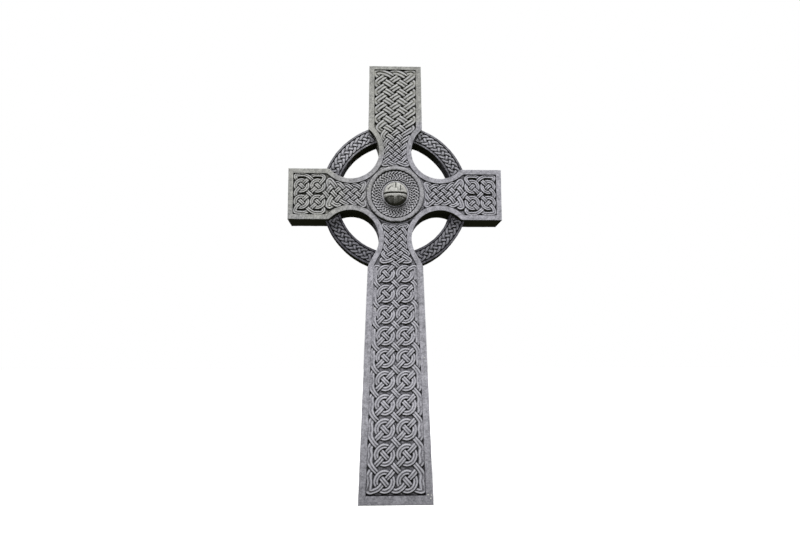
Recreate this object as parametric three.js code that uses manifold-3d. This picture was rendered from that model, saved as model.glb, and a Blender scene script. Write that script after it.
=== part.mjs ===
// Celtic cross headstone: a ringed high cross carved from one block of stone, with woven panels.
// Millimetres, +Z up, the carved front towards -Y, the origin at the middle of the underside.

import * as THREE from "three";
import { mergeVertices } from "three/addons/utils/BufferGeometryUtils.js";
import Module from "manifold-3d";

// The block
const HEIGHT = 2100;
const THICKNESS = 180;
const HEAD_HEIGHT = 1450; // middle of the ring above the ground
const FOOT_HALF = 174;
const SHOULDER_HALF = 133; // the shaft just below the ring
const TOP_HALF = 128;
const COLLAR_HALF = 132; // the upper arm where it meets the ring
const ARM_REACH = 517; // head centre to the end of a side arm
const ARM_HALF = 126;
const FLARE_ANGLE = THREE.MathUtils.degToRad(29.5); // neck to shaft, from upright

// The four hollows between the arms
const HOLLOW_RADIUS = 137;
const HOLLOW_OFFSET = 216; // from the head centre, both sideways and up

// The ring
const RING_OUTER = 361;
const RING_INNER = 282;
const RING_THICKNESS = 104;
const RING_FILLET = 10; // plain edge on both sides of the ring's woven band
const RING_SINK = 7;

// The plain borders round the sunk panels
const HOLLOW_BORDER = 26;
const ARM_BORDER = 26;
const UPPER_BORDER = 27;
const TOP_BORDER = 19.5;
const SHAFT_BORDER = 32; // just below the ring
const SHAFT_BORDER_FOOT = 37;
const FOOT_BORDER = 43;
const PANEL_SINK = 14;
const BACK_SINK = 6;

// The strands
const STRAND_DROP = 2; // their tops below the border's face
const STRAND_GAP = 4; // joint between a strand and the one that passes over it
const PLAIT_SHARE = 0.3; // half a strand's width, as a share of the distance between strands
const KNOT_SHARE = 0.41; // half a strand's width in the ring knots, as a share of a lattice column
const ARM_KNOT_SHARE = 0.4;
const STEEPEST_END = 0.6; // sine of the sharpest angle at which a strand's end is cut
const END_TAPER = 0.8; // width of a strand's cut end against its own width
const END_CLEARANCE = 0.8; // room between a strand's end and its first turn, in half-widths
const INNER_TURN = 0.65; // how near the inside of a turning strand comes to the turn's centre

// The woven panels: half steps of the weave along each, and how they are spread
const UPPER_STEPS = 24;
const UPPER_STEP_NECK = 0.81; // half step over column where the upper arm is narrowest
const UPPER_STEP_GROWTH = 0.47; // how much the half step gains as the columns widen
const NECK_STEPS = 12;
const NECK_END = 340; // head centre down to the shaft's first row of knots
const SHAFT_ROWS = 10; // rows of paired ring knots
const ARM_ROWS = 2;
const ARM_NECK_STEPS = 10;
const ROW_STEPS = 4; // half steps in one row of knots
const RING_STEPS = 20;
const SHAFT_COLUMN_TOP = 22.5;
const SHAFT_COLUMN_FOOT = 26.5;
const FOOT_STRETCH = 0.12; // how much longer than wide the knots are at the foot
const NECK_FLARE = 84; // widest half-width of the weave where a neck meets the knots
const WAIST_BLEND = 8; // how sharply a panel's even width turns into its neck

// The disc and the boss at the crossing
const DISC_RADIUS = 139;
const DISC_RIM = 22;
const DISC_GROOVE = 7; // plain stone between the rim and the woven necks
const RIM_ROUND = 4;
const DISC_RISE = 10;
const DISH_SINK = 4;
const DISH_RIBS = 24;
const RIB_HALF = 4;
const RIB_RISE = 5;
const RIB_TWIST = THREE.MathUtils.degToRad(24);
const RIB_MARGIN = 5;
const BOSS_RADIUS = 62;
const BOSS_COLLAR = 4; // upright foot of the boss
const BACK_BOSS_RISE = 26;
const GROOVE_HALF = 2.5;
const GROOVE_DEPTH = 5;
const GROOVE_LIFT = -4; // of the boss's level groove, above the head centre
const BOSS_BAND = 20;
const BOSS_RIB_HALF = 7;
const QUADRANT_DEPTH = 3.5;

// Fineness of the round stretches
const HOLLOW_SEGMENTS = 6; // in each half of a hollow's arc
const RING_SEGMENTS = 40;
const DISC_SEGMENTS = 26;
const BOSS_RINGS = 3;
const BACK_RINGS = 2;

const FRONT = -THICKNESS / 2;
const BACK = THICKNESS / 2;
const PANEL_FLOOR = FRONT + PANEL_SINK;

const wasm = await Module();
wasm.setup();

/** A closed three.js geometry as a solid that can be cut and joined. */
function solid(geometry) {
  const bare = geometry.clone();
  bare.deleteAttribute("normal");
  bare.deleteAttribute("uv");
  const merged = mergeVertices(bare, 1e-3);
  return new wasm.Manifold(
    new wasm.Mesh({
      numProp: 3,
      vertProperties: new Float32Array(merged.attributes.position.array),
      triVerts: new Uint32Array(merged.index.array),
    }),
  );
}

/** A solid as a three.js geometry with flat faces. */
function geometryOf(body) {
  const mesh = body.getMesh();
  const geometry = new THREE.BufferGeometry();
  geometry.setAttribute("position", new THREE.BufferAttribute(mesh.vertProperties, 3));
  geometry.setIndex(new THREE.BufferAttribute(mesh.triVerts, 1));
  const flat = geometry.toNonIndexed();
  flat.computeVertexNormals();
  return flat;
}

/** An upright slab: an outline seen from the front, between two depths. */
function slab(outline, near, far, curveSegments = 1) {
  const settings = { depth: far - near, bevelEnabled: false, curveSegments };
  return solid(
    new THREE.ExtrudeGeometry(outline, settings).rotateX(Math.PI / 2).translate(0, far, 0),
  );
}

/** A block between two corners. */
function block([x0, y0, z0], [x1, y1, z1]) {
  return solid(
    new THREE.BoxGeometry(x1 - x0, y1 - y0, z1 - z0).translate(
      (x0 + x1) / 2,
      (y0 + y1) / 2,
      (z0 + z1) / 2,
    ),
  );
}

/** A turned piece about the head's own axis; each point is [radius, depth towards the front]. */
function turned(profile, segments) {
  const points = profile.map(([radius, depth]) => new THREE.Vector2(radius, depth));
  return solid(
    new THREE.LatheGeometry(points, segments).rotateX(Math.PI).translate(0, 0, HEAD_HEIGHT),
  );
}

/** Half-width of the cross at a neck, a distance along the arm from the head centre. */
function waist(distance, radius, widest) {
  const off = Math.min(Math.abs(HOLLOW_OFFSET - distance), radius);
  const narrow = HOLLOW_OFFSET - Math.sqrt(radius ** 2 - off ** 2);
  return (narrow ** -WAIST_BLEND + widest ** -WAIST_BLEND) ** (-1 / WAIST_BLEND);
}

/** The cross seen from the front, without its ring; the sunk panels use the same outline, set in. */
function crossOutline({ top, topHalf, collarHalf, armReach, armHalf, hollow, shoulder, foot, footZ }) {
  const shape = new THREE.Shape();
  const centre = HOLLOW_OFFSET;
  const collarTurn = Math.acos((centre - collarHalf) / hollow);
  const armTurn = Math.asin((centre - armHalf) / hollow);
  const flareX = centre - hollow * Math.cos(FLARE_ANGLE);
  const flareZ = -centre - hollow * Math.sin(FLARE_ANGLE);
  const shoulderZ = flareZ - (shoulder - flareX) / Math.tan(FLARE_ANGLE);
  shape.moveTo(foot, footZ);
  shape.lineTo(shoulder, HEAD_HEIGHT + shoulderZ);
  shape.absarc(centre, HEAD_HEIGHT - centre, hollow, Math.PI + FLARE_ANGLE, armTurn, true);
  shape.lineTo(armReach, HEAD_HEIGHT - armHalf);
  shape.lineTo(armReach, HEAD_HEIGHT + armHalf);
  shape.absarc(centre, HEAD_HEIGHT + centre, hollow, -armTurn, Math.PI - collarTurn, true);
  shape.lineTo(topHalf, top);
  shape.lineTo(-topHalf, top);
  shape.absarc(-centre, HEAD_HEIGHT + centre, hollow, collarTurn, Math.PI + armTurn, true);
  shape.lineTo(-armReach, HEAD_HEIGHT + armHalf);
  shape.lineTo(-armReach, HEAD_HEIGHT - armHalf);
  shape.absarc(-centre, HEAD_HEIGHT - centre, hollow, Math.PI - armTurn, -FLARE_ANGLE, true);
  shape.lineTo(-shoulder, HEAD_HEIGHT + shoulderZ);
  shape.lineTo(-foot, footZ);
  return shape;
}

/**
 * The bars of a woven panel. Strands run between sites on a lattice of half steps: they cross at
 * an open site and turn along a wall. Each bar is the stretch of one strand between the two places
 * where it passes under others, as a list of lattice points with their directions.
 */
function weaveBars({ site, sameOver, columns, steps, wallOffset, edgeOffset }) {
  const bars = [];
  const done = new Set();
  const follow = (i, j, di, dj) => {
    const points = [{ u: i, v: j, du: di, dv: dj, crossing: true }];
    for (let count = 0; count < columns * steps; count++) {
      i += di;
      j += dj;
      const kind = site(i, j);
      if (kind === "cross") {
        points.push({ u: i, v: j, du: di, dv: dj, crossing: true });
        if ((di * dj > 0) !== sameOver(i, j)) return { points, i, j, di, dj };
      } else if (kind === "upright") {
        const offset = site(i + di, j + dj) ? wallOffset[0] : edgeOffset[0];
        points.push({ u: i - di * offset, v: j, du: 0, dv: dj });
        di = -di;
      } else if (kind === "level") {
        const offset = site(i + di, j + dj) ? wallOffset[1] : edgeOffset[1];
        points.push({ u: i, v: j - dj * offset, du: di, dv: 0 });
        dj = -dj;
      } else {
        return null;
      }
    }
    return null;
  };
  for (let j = 0; j <= steps; j++) {
    for (let i = 0; i <= columns; i++) {
      if (site(i, j) !== "cross") continue;
      const turn = sameOver(i, j) ? -1 : 1;
      for (const di of [1, -1]) {
        if (done.has(`${i},${j},${di},${di * turn}`)) continue;
        const bar = follow(i, j, di, di * turn);
        if (!bar) continue;
        done.add(`${bar.i},${bar.j},${-bar.di},${-bar.dj}`);
        bars.push(bar.points);
      }
    }
  }
  return bars;
}

/** The points of a bar's middle line: its ends, its turns, and the crossings next to a turn. */
function barPoints(points) {
  return points.filter((point, k) => {
    const before = points[k - 1];
    const after = points[k + 1];
    return !point.crossing || !before || !after || !(before.crossing && after.crossing);
  });
}

/** The direction, on the stone's face, of the strand that passes over the end of a bar. */
function overWay({ u, v, du, dv }, place) {
  const reach = 0.05;
  const after = new THREE.Vector2(...place(u + reach * du, v - reach * dv));
  const before = new THREE.Vector2(...place(u - reach * du, v + reach * dv));
  return after.sub(before).normalize();
}

/**
 * The stations of a bar: its middle line with the two edges beside it, cut at both ends along the
 * strand that passes over it, and never folded on the inside of a tight turn.
 */
function barStations(points, place, halfWidth) {
  const middle = points[Math.floor(points.length / 2)];
  const half = halfWidth(middle.u, middle.v);
  const path = barPoints(points).map(({ u, v }) => new THREE.Vector2(...place(u, v)));
  const ends = [];
  for (const lattice of [points[0], points.at(-1)]) {
    const over = overWay(lattice, place);
    const end = path.shift();
    const cover = halfWidth(lattice.u, lattice.v) + STRAND_GAP;
    while (path.length > 1 && path[0].distanceTo(end) < cover + half * END_CLEARANCE) path.shift();
    const way = path[0].clone().sub(end).normalize();
    const slant = way.cross(over);
    const steep = Math.abs(slant) > STEEPEST_END;
    path.unshift(end.addScaledVector(way, steep ? cover / Math.abs(slant) : cover));
    ends.push(
      steep
        ? over.multiplyScalar((END_TAPER * half) / slant)
        : new THREE.Vector2(-way.y, way.x).multiplyScalar(END_TAPER * half),
    );
    path.reverse();
  }
  return path.map((point, k) => {
    let sides;
    if (k === 0) {
      sides = [ends[0], ends[0]];
    } else if (k === path.length - 1) {
      const last = ends[1].clone().negate();
      sides = [last, last];
    } else {
      const before = point.clone().sub(path[k - 1]);
      const after = path[k + 1].clone().sub(point);
      const turn = Math.asin(before.cross(after) / (before.length() * after.length()));
      const radius = (before.length() + after.length()) / (2 * Math.abs(turn) + 1e-6);
      const inside = Math.min(half, radius * INNER_TURN);
      const way = before.normalize().add(after.normalize()).normalize();
      const across = new THREE.Vector2(-way.y, way.x);
      const lengths = turn > 0 ? [inside, half] : [half, inside];
      sides = lengths.map((length) => across.clone().multiplyScalar(length));
    }
    return { left: point.clone().add(sides[0]), crest: point, right: point.clone().sub(sides[1]) };
  });
}

/** A strand's bar as a solid with a ridged back, from a base inside the stone to its crest. */
function ridge(stations, crestY, baseY) {
  const positions = [];
  for (const { left, crest, right } of stations) {
    positions.push(left.x, baseY, left.y, crest.x, crestY, crest.y, right.x, baseY, right.y);
  }
  const last = 3 * (stations.length - 1);
  const faces = [0, 2, 1, last, last + 1, last + 2];
  for (let k = 0; k < last; k += 3) {
    for (const [a, b] of [[0, 1], [1, 2], [2, 0]]) {
      faces.push(k + a, k + b, k + b + 3, k + a, k + b + 3, k + a + 3);
    }
  }
  const geometry = new THREE.BufferGeometry();
  geometry.setAttribute("position", new THREE.Float32BufferAttribute(positions, 3));
  geometry.setIndex(faces);
  return solid(geometry);
}

/** All bars of a panel as solids rising from its floor. */
function wovenPanel(panel, faceY, floorY) {
  return weaveBars(panel).map((points) => {
    const stations = barStations(points, panel.place, panel.halfWidth);
    return ridge(stations, faceY, floorY);
  });
}

/** Which sites of a plain plait are crossings: all but those on its edges. */
function plaitSite(first, last, steps) {
  return (i, j) => {
    if ((i + j) % 2 === 0 || i < first || i > last || j < 0 || j > steps) return null;
    if (j === 0 || j === steps) return "level";
    if (i === first || i === last) return "upright";
    return "cross";
  };
}

/** Half a strand's width where a plait's columns and steps have these sizes. */
function plaitHalf(column, step) {
  return (PLAIT_SHARE * 2 * column * step) / Math.hypot(column, step);
}

/** Lattice distances turned into places, for steps whose size follows from where they are. */
function stepLine(start, steps, sizeAt) {
  const stops = [start];
  for (let k = 0; k < steps; k++) stops.push(stops[k] + sizeAt(stops[k]));
  return stops;
}

/** The place between stops, for a step number that needn't be whole. */
function along(stops, v) {
  const k = Math.min(Math.max(Math.floor(v), 0), stops.length - 2);
  return stops[k] + (stops[k + 1] - stops[k]) * (v - k);
}

/** Stops scaled so that the last one falls where it should. */
function fitted(stops, end) {
  const scale = (end - stops[0]) / (stops.at(-1) - stops[0]);
  return stops.map((stop) => stops[0] + (stop - stops[0]) * scale);
}

const panelRadius = HOLLOW_RADIUS + HOLLOW_BORDER;
const discEdge = DISC_RADIUS + DISC_GROOVE;

/** The upper arm's plain plait, six columns wide. */
function upperPanel() {
  const top = HEIGHT - HEAD_HEIGHT - TOP_BORDER;
  const widest = TOP_HALF - UPPER_BORDER;
  const column = (s) => waist(s, panelRadius, widest) / 3;
  const narrow = waist(HOLLOW_OFFSET, panelRadius, widest) / 3;
  const stepSize = (s) => UPPER_STEP_NECK * narrow + UPPER_STEP_GROWTH * (column(s) - narrow);
  const stops = fitted(stepLine(top, UPPER_STEPS, (s) => -stepSize(s)), discEdge);
  const place = (u, v) => {
    const s = along(stops, v);
    return [(u - 3) * column(s), HEAD_HEIGHT + s];
  };
  return {
    columns: 6,
    steps: UPPER_STEPS,
    site: plaitSite(0, 6, UPPER_STEPS),
    sameOver: (i) => i % 2 === 0,
    edgeOffset: [0.42, 0.55],
    place,
    halfWidth: (u, v) => {
      const s = along(stops, v);
      return plaitHalf(column(s), stepSize(s));
    },
  };
}

/**
 * A narrowing plait that opens into rows of paired ring knots, ten columns wide: the neck's six
 * columns are the middle ones, and only the middle crossing joins the two.
 */
function knotPanel({ neckSteps, rows, neck, knots, wallOffset, edgeOffset, sameOver }) {
  const steps = neckSteps + rows * ROW_STEPS;
  const site = (i, j) => {
    if ((i + j) % 2 === 0 || i < 0 || i > 10 || j < 0 || j > steps) return null;
    if (j < neckSteps && (i < 2 || i > 8)) return null;
    if (j === 0 || j === steps) return "level";
    if (j < neckSteps) {
      return i === 2 || i === 8 ? "upright" : "cross";
    }
    const inRow = (j - neckSteps) % ROW_STEPS;
    if (j === neckSteps) return i === 5 ? "cross" : "level";
    if (i === 0 || i === 10) return "upright";
    if (inRow === ROW_STEPS / 2 && i % 4 === 1) return "upright";
    if (inRow === 0 && i % 4 === 3) return "level";
    return "cross";
  };
  const part = (v) => (v < neckSteps ? neck : knots);
  return {
    columns: 10,
    steps,
    site,
    sameOver,
    wallOffset,
    edgeOffset,
    place: (u, v) => part(v).place(u, v),
    halfWidth: (u, v) => part(v).halfWidth(u, v),
  };
}

/** The lattice's sideways place: even columns out to the knots' own edge, then the rest to the border. */
function spread(u, column, edge) {
  const reach = Math.min(Math.abs(u - 5), 4);
  const rest = Math.abs(u - 5) - reach;
  return Math.sign(u - 5) * (reach * column + rest * (edge - 4 * column));
}

/** The shaft's neck and its rows of knots. */
function shaftPanel() {
  const footZ = FOOT_BORDER;
  const neckColumn = (s) => waist(s, panelRadius, NECK_FLARE) / 3;
  const neckStep = (NECK_END - discEdge) / NECK_STEPS;
  const reach = (v) => discEdge + v * neckStep;
  const shaftTop = HEAD_HEIGHT - NECK_END;
  const edgeTop = SHOULDER_HALF - SHAFT_BORDER;
  const edgeFoot = FOOT_HALF - SHAFT_BORDER_FOOT;
  const down = (z) => (shaftTop - z) / (shaftTop - footZ);
  const column = (z) => THREE.MathUtils.lerp(SHAFT_COLUMN_TOP, SHAFT_COLUMN_FOOT, down(z));
  const edge = (z) => THREE.MathUtils.lerp(edgeTop, edgeFoot, down(z));
  const grown = (z) => column(z) * (1 + FOOT_STRETCH * down(z));
  const shaftStops = fitted(stepLine(shaftTop, SHAFT_ROWS * ROW_STEPS, (z) => -grown(z)), footZ);
  return knotPanel({
    neckSteps: NECK_STEPS,
    rows: SHAFT_ROWS,
    wallOffset: [0.54, 0.64],
    edgeOffset: [0.42, 0.6],
    sameOver: (i) => i % 2 === 1,
    neck: {
      place: (u, v) => [(u - 5) * neckColumn(reach(v)), HEAD_HEIGHT - reach(v)],
      halfWidth: (u, v) => plaitHalf(neckColumn(reach(v)), neckStep),
    },
    knots: {
      place: (u, v) => {
        const z = along(shaftStops, v - NECK_STEPS);
        return [spread(u, column(z), edge(z)), z];
      },
      halfWidth: (u, v) => KNOT_SHARE * column(along(shaftStops, v - NECK_STEPS)),
    },
  });
}

/** A side arm's neck and knots, running out from the disc; side is -1 for the left arm. */
function armPanel(side) {
  const armEnd = ARM_REACH - ARM_BORDER;
  const steps = ARM_NECK_STEPS + ARM_ROWS * ROW_STEPS;
  const step = (armEnd - discEdge) / steps;
  const column = (ARM_HALF - ARM_BORDER) / 5;
  const neckColumn = (s) => waist(s, panelRadius, NECK_FLARE) / 3;
  const reach = (v) => discEdge + v * step;
  return knotPanel({
    neckSteps: ARM_NECK_STEPS,
    rows: ARM_ROWS,
    wallOffset: [0.7, 0.5],
    edgeOffset: [0.42, 0.48],
    sameOver: (i) => i % 2 === 0,
    neck: {
      place: (u, v) => [side * reach(v), HEAD_HEIGHT - (u - 5) * neckColumn(reach(v))],
      halfWidth: (u, v) => plaitHalf(neckColumn(reach(v)), step),
    },
    knots: {
      place: (u, v) => [side * reach(v), HEAD_HEIGHT - (u - 5) * column],
      halfWidth: () => ARM_KNOT_SHARE * column,
    },
  });
}

/** One of the ring's four woven arcs, in the quarter that starts at an angle. */
function ringPanel(quarter) {
  const middle = (RING_OUTER + RING_INNER) / 2;
  const centre = HOLLOW_OFFSET * Math.SQRT2;
  const cosine = (middle ** 2 + centre ** 2 - HOLLOW_RADIUS ** 2) / (2 * middle * centre);
  const half = Math.acos(cosine);
  const column = (RING_OUTER - RING_INNER - 2 * RING_FILLET) / 4;
  const step = (2 * half * middle) / RING_STEPS;
  const start = quarter + Math.PI / 4 - half;
  return {
    columns: 4,
    steps: RING_STEPS,
    site: plaitSite(0, 4, RING_STEPS),
    sameOver: (i) => i % 2 === 0,
    edgeOffset: [0.52, 0.5],
    place: (u, v) => {
      const radius = RING_INNER + RING_FILLET + u * column;
      const angle = start + (2 * half * v) / RING_STEPS;
      return [radius * Math.cos(angle), HEAD_HEIGHT + radius * Math.sin(angle)];
    },
    halfWidth: () => plaitHalf(column, step),
  };
}

/** The ring, with a sunk band on its front. */
function ringSolid() {
  const half = RING_THICKNESS / 2;
  const band = half - RING_SINK;
  const bandInner = RING_INNER + RING_FILLET;
  const bandOuter = RING_OUTER - RING_FILLET;
  return turned(
    [
      [RING_INNER, -half],
      [RING_OUTER, -half],
      [RING_OUTER, half],
      [bandOuter, half],
      [bandOuter, band],
      [bandInner, band],
      [bandInner, half],
      [RING_INNER, half],
      [RING_INNER, -half],
    ],
    RING_SEGMENTS,
  );
}

/** Points of a dome's profile, from its rim to its top. */
function domeProfile(radius, base, rise, rings) {
  const points = [];
  for (let k = 0; k <= rings; k++) {
    const angle = (k / rings) * (Math.PI / 2);
    points.push([k === rings ? 0 : radius * Math.cos(angle), base + rise * Math.sin(angle)]);
  }
  return points;
}

/** The disc on one face: a raised rim, a dish and a domed boss. */
function discSolid(round, bossRise, rings) {
  const face = THICKNESS / 2;
  const inner = DISC_RADIUS - DISC_RIM;
  const dish = face - DISH_SINK;
  const crown = face + DISC_RISE;
  const edges = [[DISC_RADIUS, crown - round], [DISC_RADIUS - round, crown], [inner + round, crown], [inner, crown - round]];
  const rim = round > 0 ? edges : [edges[0], edges[3]];
  const profile = [
    [0, 0],
    [DISC_RADIUS, 0],
    ...rim,
    [inner, dish],
    [BOSS_RADIUS, dish],
    ...domeProfile(BOSS_RADIUS, dish + BOSS_COLLAR, bossRise, rings),
  ];
  return turned(profile, DISC_SEGMENTS);
}

/** The boss's cuts: a level groove across it, and two sunk quarters below. */
function bossCuts() {
  const base = THICKNESS / 2 - DISH_SINK + BOSS_COLLAR;
  const rise = BOSS_RADIUS - BOSS_COLLAR;
  const core = (depth) =>
    turned(
      [[0, 0], [BOSS_RADIUS - depth, 0], ...domeProfile(BOSS_RADIUS - depth, base, rise - depth, BOSS_RINGS)],
      DISC_SEGMENTS,
    );
  const near = -base - BOSS_RADIUS;
  const groove = block(
    [-BOSS_RADIUS, near, HEAD_HEIGHT + GROOVE_LIFT - GROOVE_HALF],
    [BOSS_RADIUS, -base - 1, HEAD_HEIGHT + GROOVE_LIFT + GROOVE_HALF],
  ).subtract(core(GROOVE_DEPTH));
  const low = HEAD_HEIGHT - BOSS_RADIUS;
  const high = HEAD_HEIGHT + GROOVE_LIFT - BOSS_BAND;
  const quarters = [-1, 1].map((side) => {
    const [x0, x1] = [side * BOSS_RIB_HALF, side * BOSS_RADIUS].sort((a, b) => a - b);
    return block([x0, near, low], [x1, -base - BOSS_COLLAR, high]).subtract(core(QUADRANT_DEPTH));
  });
  return [groove, ...quarters];
}

/** The fine slanted ribs in the dish round the boss. */
function dishRibs() {
  const inner = BOSS_RADIUS + RIB_MARGIN;
  const outer = DISC_RADIUS - DISC_RIM - RIB_MARGIN;
  const dish = FRONT + DISH_SINK;
  return Array.from({ length: DISH_RIBS }, (unused, k) => {
    const angle = (k / DISH_RIBS) * 2 * Math.PI;
    const ends = [inner, outer].map((radius, n) => {
      const turn = angle + RIB_TWIST * n;
      return new THREE.Vector2(
        radius * Math.cos(turn),
        HEAD_HEIGHT + radius * Math.sin(turn),
      );
    });
    const way = ends[1].clone().sub(ends[0]).normalize();
    const side = new THREE.Vector2(-way.y, way.x).multiplyScalar(RIB_HALF);
    const stations = ends.map((crest) => ({
      left: crest.clone().add(side),
      crest,
      right: crest.clone().sub(side),
    }));
    return ridge(stations, dish - RIB_RISE, dish);
  });
}

/** The whole stone. */
function crossSolid() {
  const outer = crossOutline({
    top: HEIGHT,
    topHalf: TOP_HALF,
    collarHalf: COLLAR_HALF,
    armReach: ARM_REACH,
    armHalf: ARM_HALF,
    hollow: HOLLOW_RADIUS,
    shoulder: SHOULDER_HALF,
    foot: FOOT_HALF,
    footZ: 0,
  });
  const inner = crossOutline({
    top: HEIGHT - TOP_BORDER,
    topHalf: TOP_HALF - UPPER_BORDER,
    collarHalf: TOP_HALF - UPPER_BORDER,
    armReach: ARM_REACH - ARM_BORDER,
    armHalf: ARM_HALF - ARM_BORDER,
    hollow: panelRadius,
    shoulder: SHOULDER_HALF - SHAFT_BORDER,
    foot: FOOT_HALF - SHAFT_BORDER_FOOT,
    footZ: FOOT_BORDER,
  });
  const carving = [
    ...wovenPanel(upperPanel(), FRONT + STRAND_DROP, PANEL_FLOOR),
    ...wovenPanel(shaftPanel(), FRONT + STRAND_DROP, PANEL_FLOOR),
    ...[-1, 1].flatMap((side) => wovenPanel(armPanel(side), FRONT + STRAND_DROP, PANEL_FLOOR)),
  ];
  const ringFace = -RING_THICKNESS / 2;
  const ringCarving = [0, 1, 2, 3].flatMap((quarter) =>
    wovenPanel(ringPanel((quarter * Math.PI) / 2), ringFace, ringFace + RING_SINK),
  );
  const bodyBlock = slab(outer, FRONT, BACK, HOLLOW_SEGMENTS)
    .subtract(slab(inner, FRONT - 1, PANEL_FLOOR, HOLLOW_SEGMENTS))
    .subtract(slab(inner, BACK - BACK_SINK, BACK + 1, HOLLOW_SEGMENTS));
  const ring = wasm.Manifold.union([ringSolid(), ...ringCarving]);
  const frontDisc = discSolid(RIM_ROUND, BOSS_RADIUS - BOSS_COLLAR, BOSS_RINGS);
  const backDisc = turnedBack(discSolid(0, BACK_BOSS_RISE, BACK_RINGS));
  const whole = wasm.Manifold.union([bodyBlock, ring, ...carving, frontDisc, backDisc, ...dishRibs()]);
  return whole.subtract(wasm.Manifold.union(bossCuts()));
}

/** A piece of the front moved to the same place on the back. */
function turnedBack(body) {
  return body.rotate([0, 0, 180]);
}

const stone = new THREE.MeshStandardMaterial({
  name: "weathered_stone",
  color: 0x8f8f90,
  roughness: 0.92,
  metalness: 0,
});

const cross = new THREE.Mesh(geometryOf(crossSolid()), stone);
cross.name = "cross";

const headstone = new THREE.Group();
headstone.name = "celtic_cross_headstone";
headstone.add(cross);

export default headstone;
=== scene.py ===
"""Celtic cross headstone: the weathered block, its knotwork, ring, disc and boss, and a plain studio."""

import logging
import math
from dataclasses import dataclass, field
from enum import Enum
from typing import Callable

import bpy
import numpy as np
from mathutils import Matrix

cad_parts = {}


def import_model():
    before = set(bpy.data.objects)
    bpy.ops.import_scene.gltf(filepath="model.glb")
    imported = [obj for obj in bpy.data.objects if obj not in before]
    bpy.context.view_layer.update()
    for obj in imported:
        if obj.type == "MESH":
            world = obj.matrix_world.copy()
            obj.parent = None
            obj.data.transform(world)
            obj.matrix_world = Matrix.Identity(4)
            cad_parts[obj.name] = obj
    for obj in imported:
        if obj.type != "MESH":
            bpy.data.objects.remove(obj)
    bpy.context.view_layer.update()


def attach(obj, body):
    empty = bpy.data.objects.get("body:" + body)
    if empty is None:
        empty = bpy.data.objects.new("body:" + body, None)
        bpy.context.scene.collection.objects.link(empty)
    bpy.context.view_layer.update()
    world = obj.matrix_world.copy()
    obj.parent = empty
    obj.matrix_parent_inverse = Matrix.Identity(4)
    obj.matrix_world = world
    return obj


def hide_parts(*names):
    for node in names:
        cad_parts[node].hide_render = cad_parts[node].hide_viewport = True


LOG = logging.getLogger("headstone")
BODY = "root"
NODE = "cross"

Points = np.ndarray
Place = Callable[[float, float], tuple[float, float]]
Stop = tuple[float, float, float | None]

TURN_LEVEL = 0.3
# Painted shade in recesses: height of the walls round a relief as a share of its crests, shade in the open,
# and how fast it grows with depth
BORDER_SHARE = 1.1
OPEN_SHADE = 0.2
SHADE_GAIN = 2.3
# Columns of a panel of paired ring knots, and those at which its narrow neck turns
KNOT_COLUMNS = 10
NECK_EDGES = (2, 8)


@dataclass(frozen=True)
class StoneSizes:
    """The block's own sizes, in metres."""

    height: float = 2.1
    thickness: float = 0.18
    head: float = 1.45
    foot_half: float = 0.174
    shoulder_half: float = 0.133
    top_half: float = 0.128
    collar_half: float = 0.132
    arm_reach: float = 0.517
    arm_half: float = 0.126
    flare: float = math.radians(29.5)
    hollow_radius: float = 0.137
    hollow_offset: float = 0.216
    hollow_border: float = 0.026
    arm_border: float = 0.026
    upper_border: float = 0.027
    top_border: float = 0.0195
    shaft_border: float = 0.032
    shaft_border_foot: float = 0.037
    foot_border: float = 0.043
    panel_sink: float = 0.014
    back_sink: float = 0.006
    disc_radius: float = 0.139

    @property
    def front(self) -> float:
        """Depth of the front borders' face."""
        return -self.thickness / 2

    @property
    def back(self) -> float:
        """Depth of the back borders' face."""
        return self.thickness / 2

    @property
    def floor(self) -> float:
        """Depth of the front panels' floor."""
        return self.front + self.panel_sink

    @property
    def panel_radius(self) -> float:
        """Radius of the panels' own edge round each hollow."""
        return self.hollow_radius + self.hollow_border

    @property
    def disc_edge(self) -> float:
        """Distance from the head's centre at which the woven necks start."""
        return self.disc_radius + 0.001


SIZES = StoneSizes()


class Site(Enum):
    """What a strand finds at a place of the lattice."""

    CROSS = "cross"
    UPRIGHT = "upright"
    LEVEL = "level"


class Shading(Enum):
    """How a piece's faces are shaded: the angle from which its edges stay sharp."""

    SMOOTH = 180
    RIMMED = 72
    BY_ANGLE = 38


# Noise and small helpers for arrays of points


def value_noise(points: Points, size: float, seed: int) -> np.ndarray:
    """Smooth noise from -1 to 1 at each point.

    Args:
        points: Places, with three numbers in the last axis.
        size: Width of one patch of the noise.
        seed: Number that picks the pattern.

    Returns:
        One value for each point.
    """
    scaled = points / size
    base = np.floor(scaled).astype(np.int64)
    part = scaled - base
    part = part * part * (3 - 2 * part)
    total = np.zeros(points.shape[:-1])
    for corner in range(8):
        step = np.array([corner & 1, (corner >> 1) & 1, (corner >> 2) & 1])
        cell = base + step
        mixed = (
            cell[..., 0] * 73856093
            ^ cell[..., 1] * 19349663
            ^ cell[..., 2] * 83492791
            ^ (seed * 2654435761)
        ) & 0x7FFFFFFF
        mixed = (mixed << 13) ^ mixed
        mixed = (mixed * (mixed * mixed % 1000003 * 15731 + 789221) + 1376312589) & 0x7FFFFFFF
        share = np.where(step == 1, part, 1 - part).prod(axis=-1)
        total += share * (mixed / 0x3FFFFFFF - 1)
    return total


def weather(points: Points, seed: int = 3) -> np.ndarray:
    """Uneven wear of the stone at each point, in metres.

    Args:
        points: Places on the stone.
        seed: Number that picks the pattern.

    Returns:
        One height for each place.
    """
    broad = value_noise(points, 0.055, seed)
    middle = value_noise(points, 0.017, seed + 1)
    fine = value_noise(points, 0.006, seed + 2)
    return 0.00045 * broad + 0.00035 * middle + 0.00022 * fine


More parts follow.
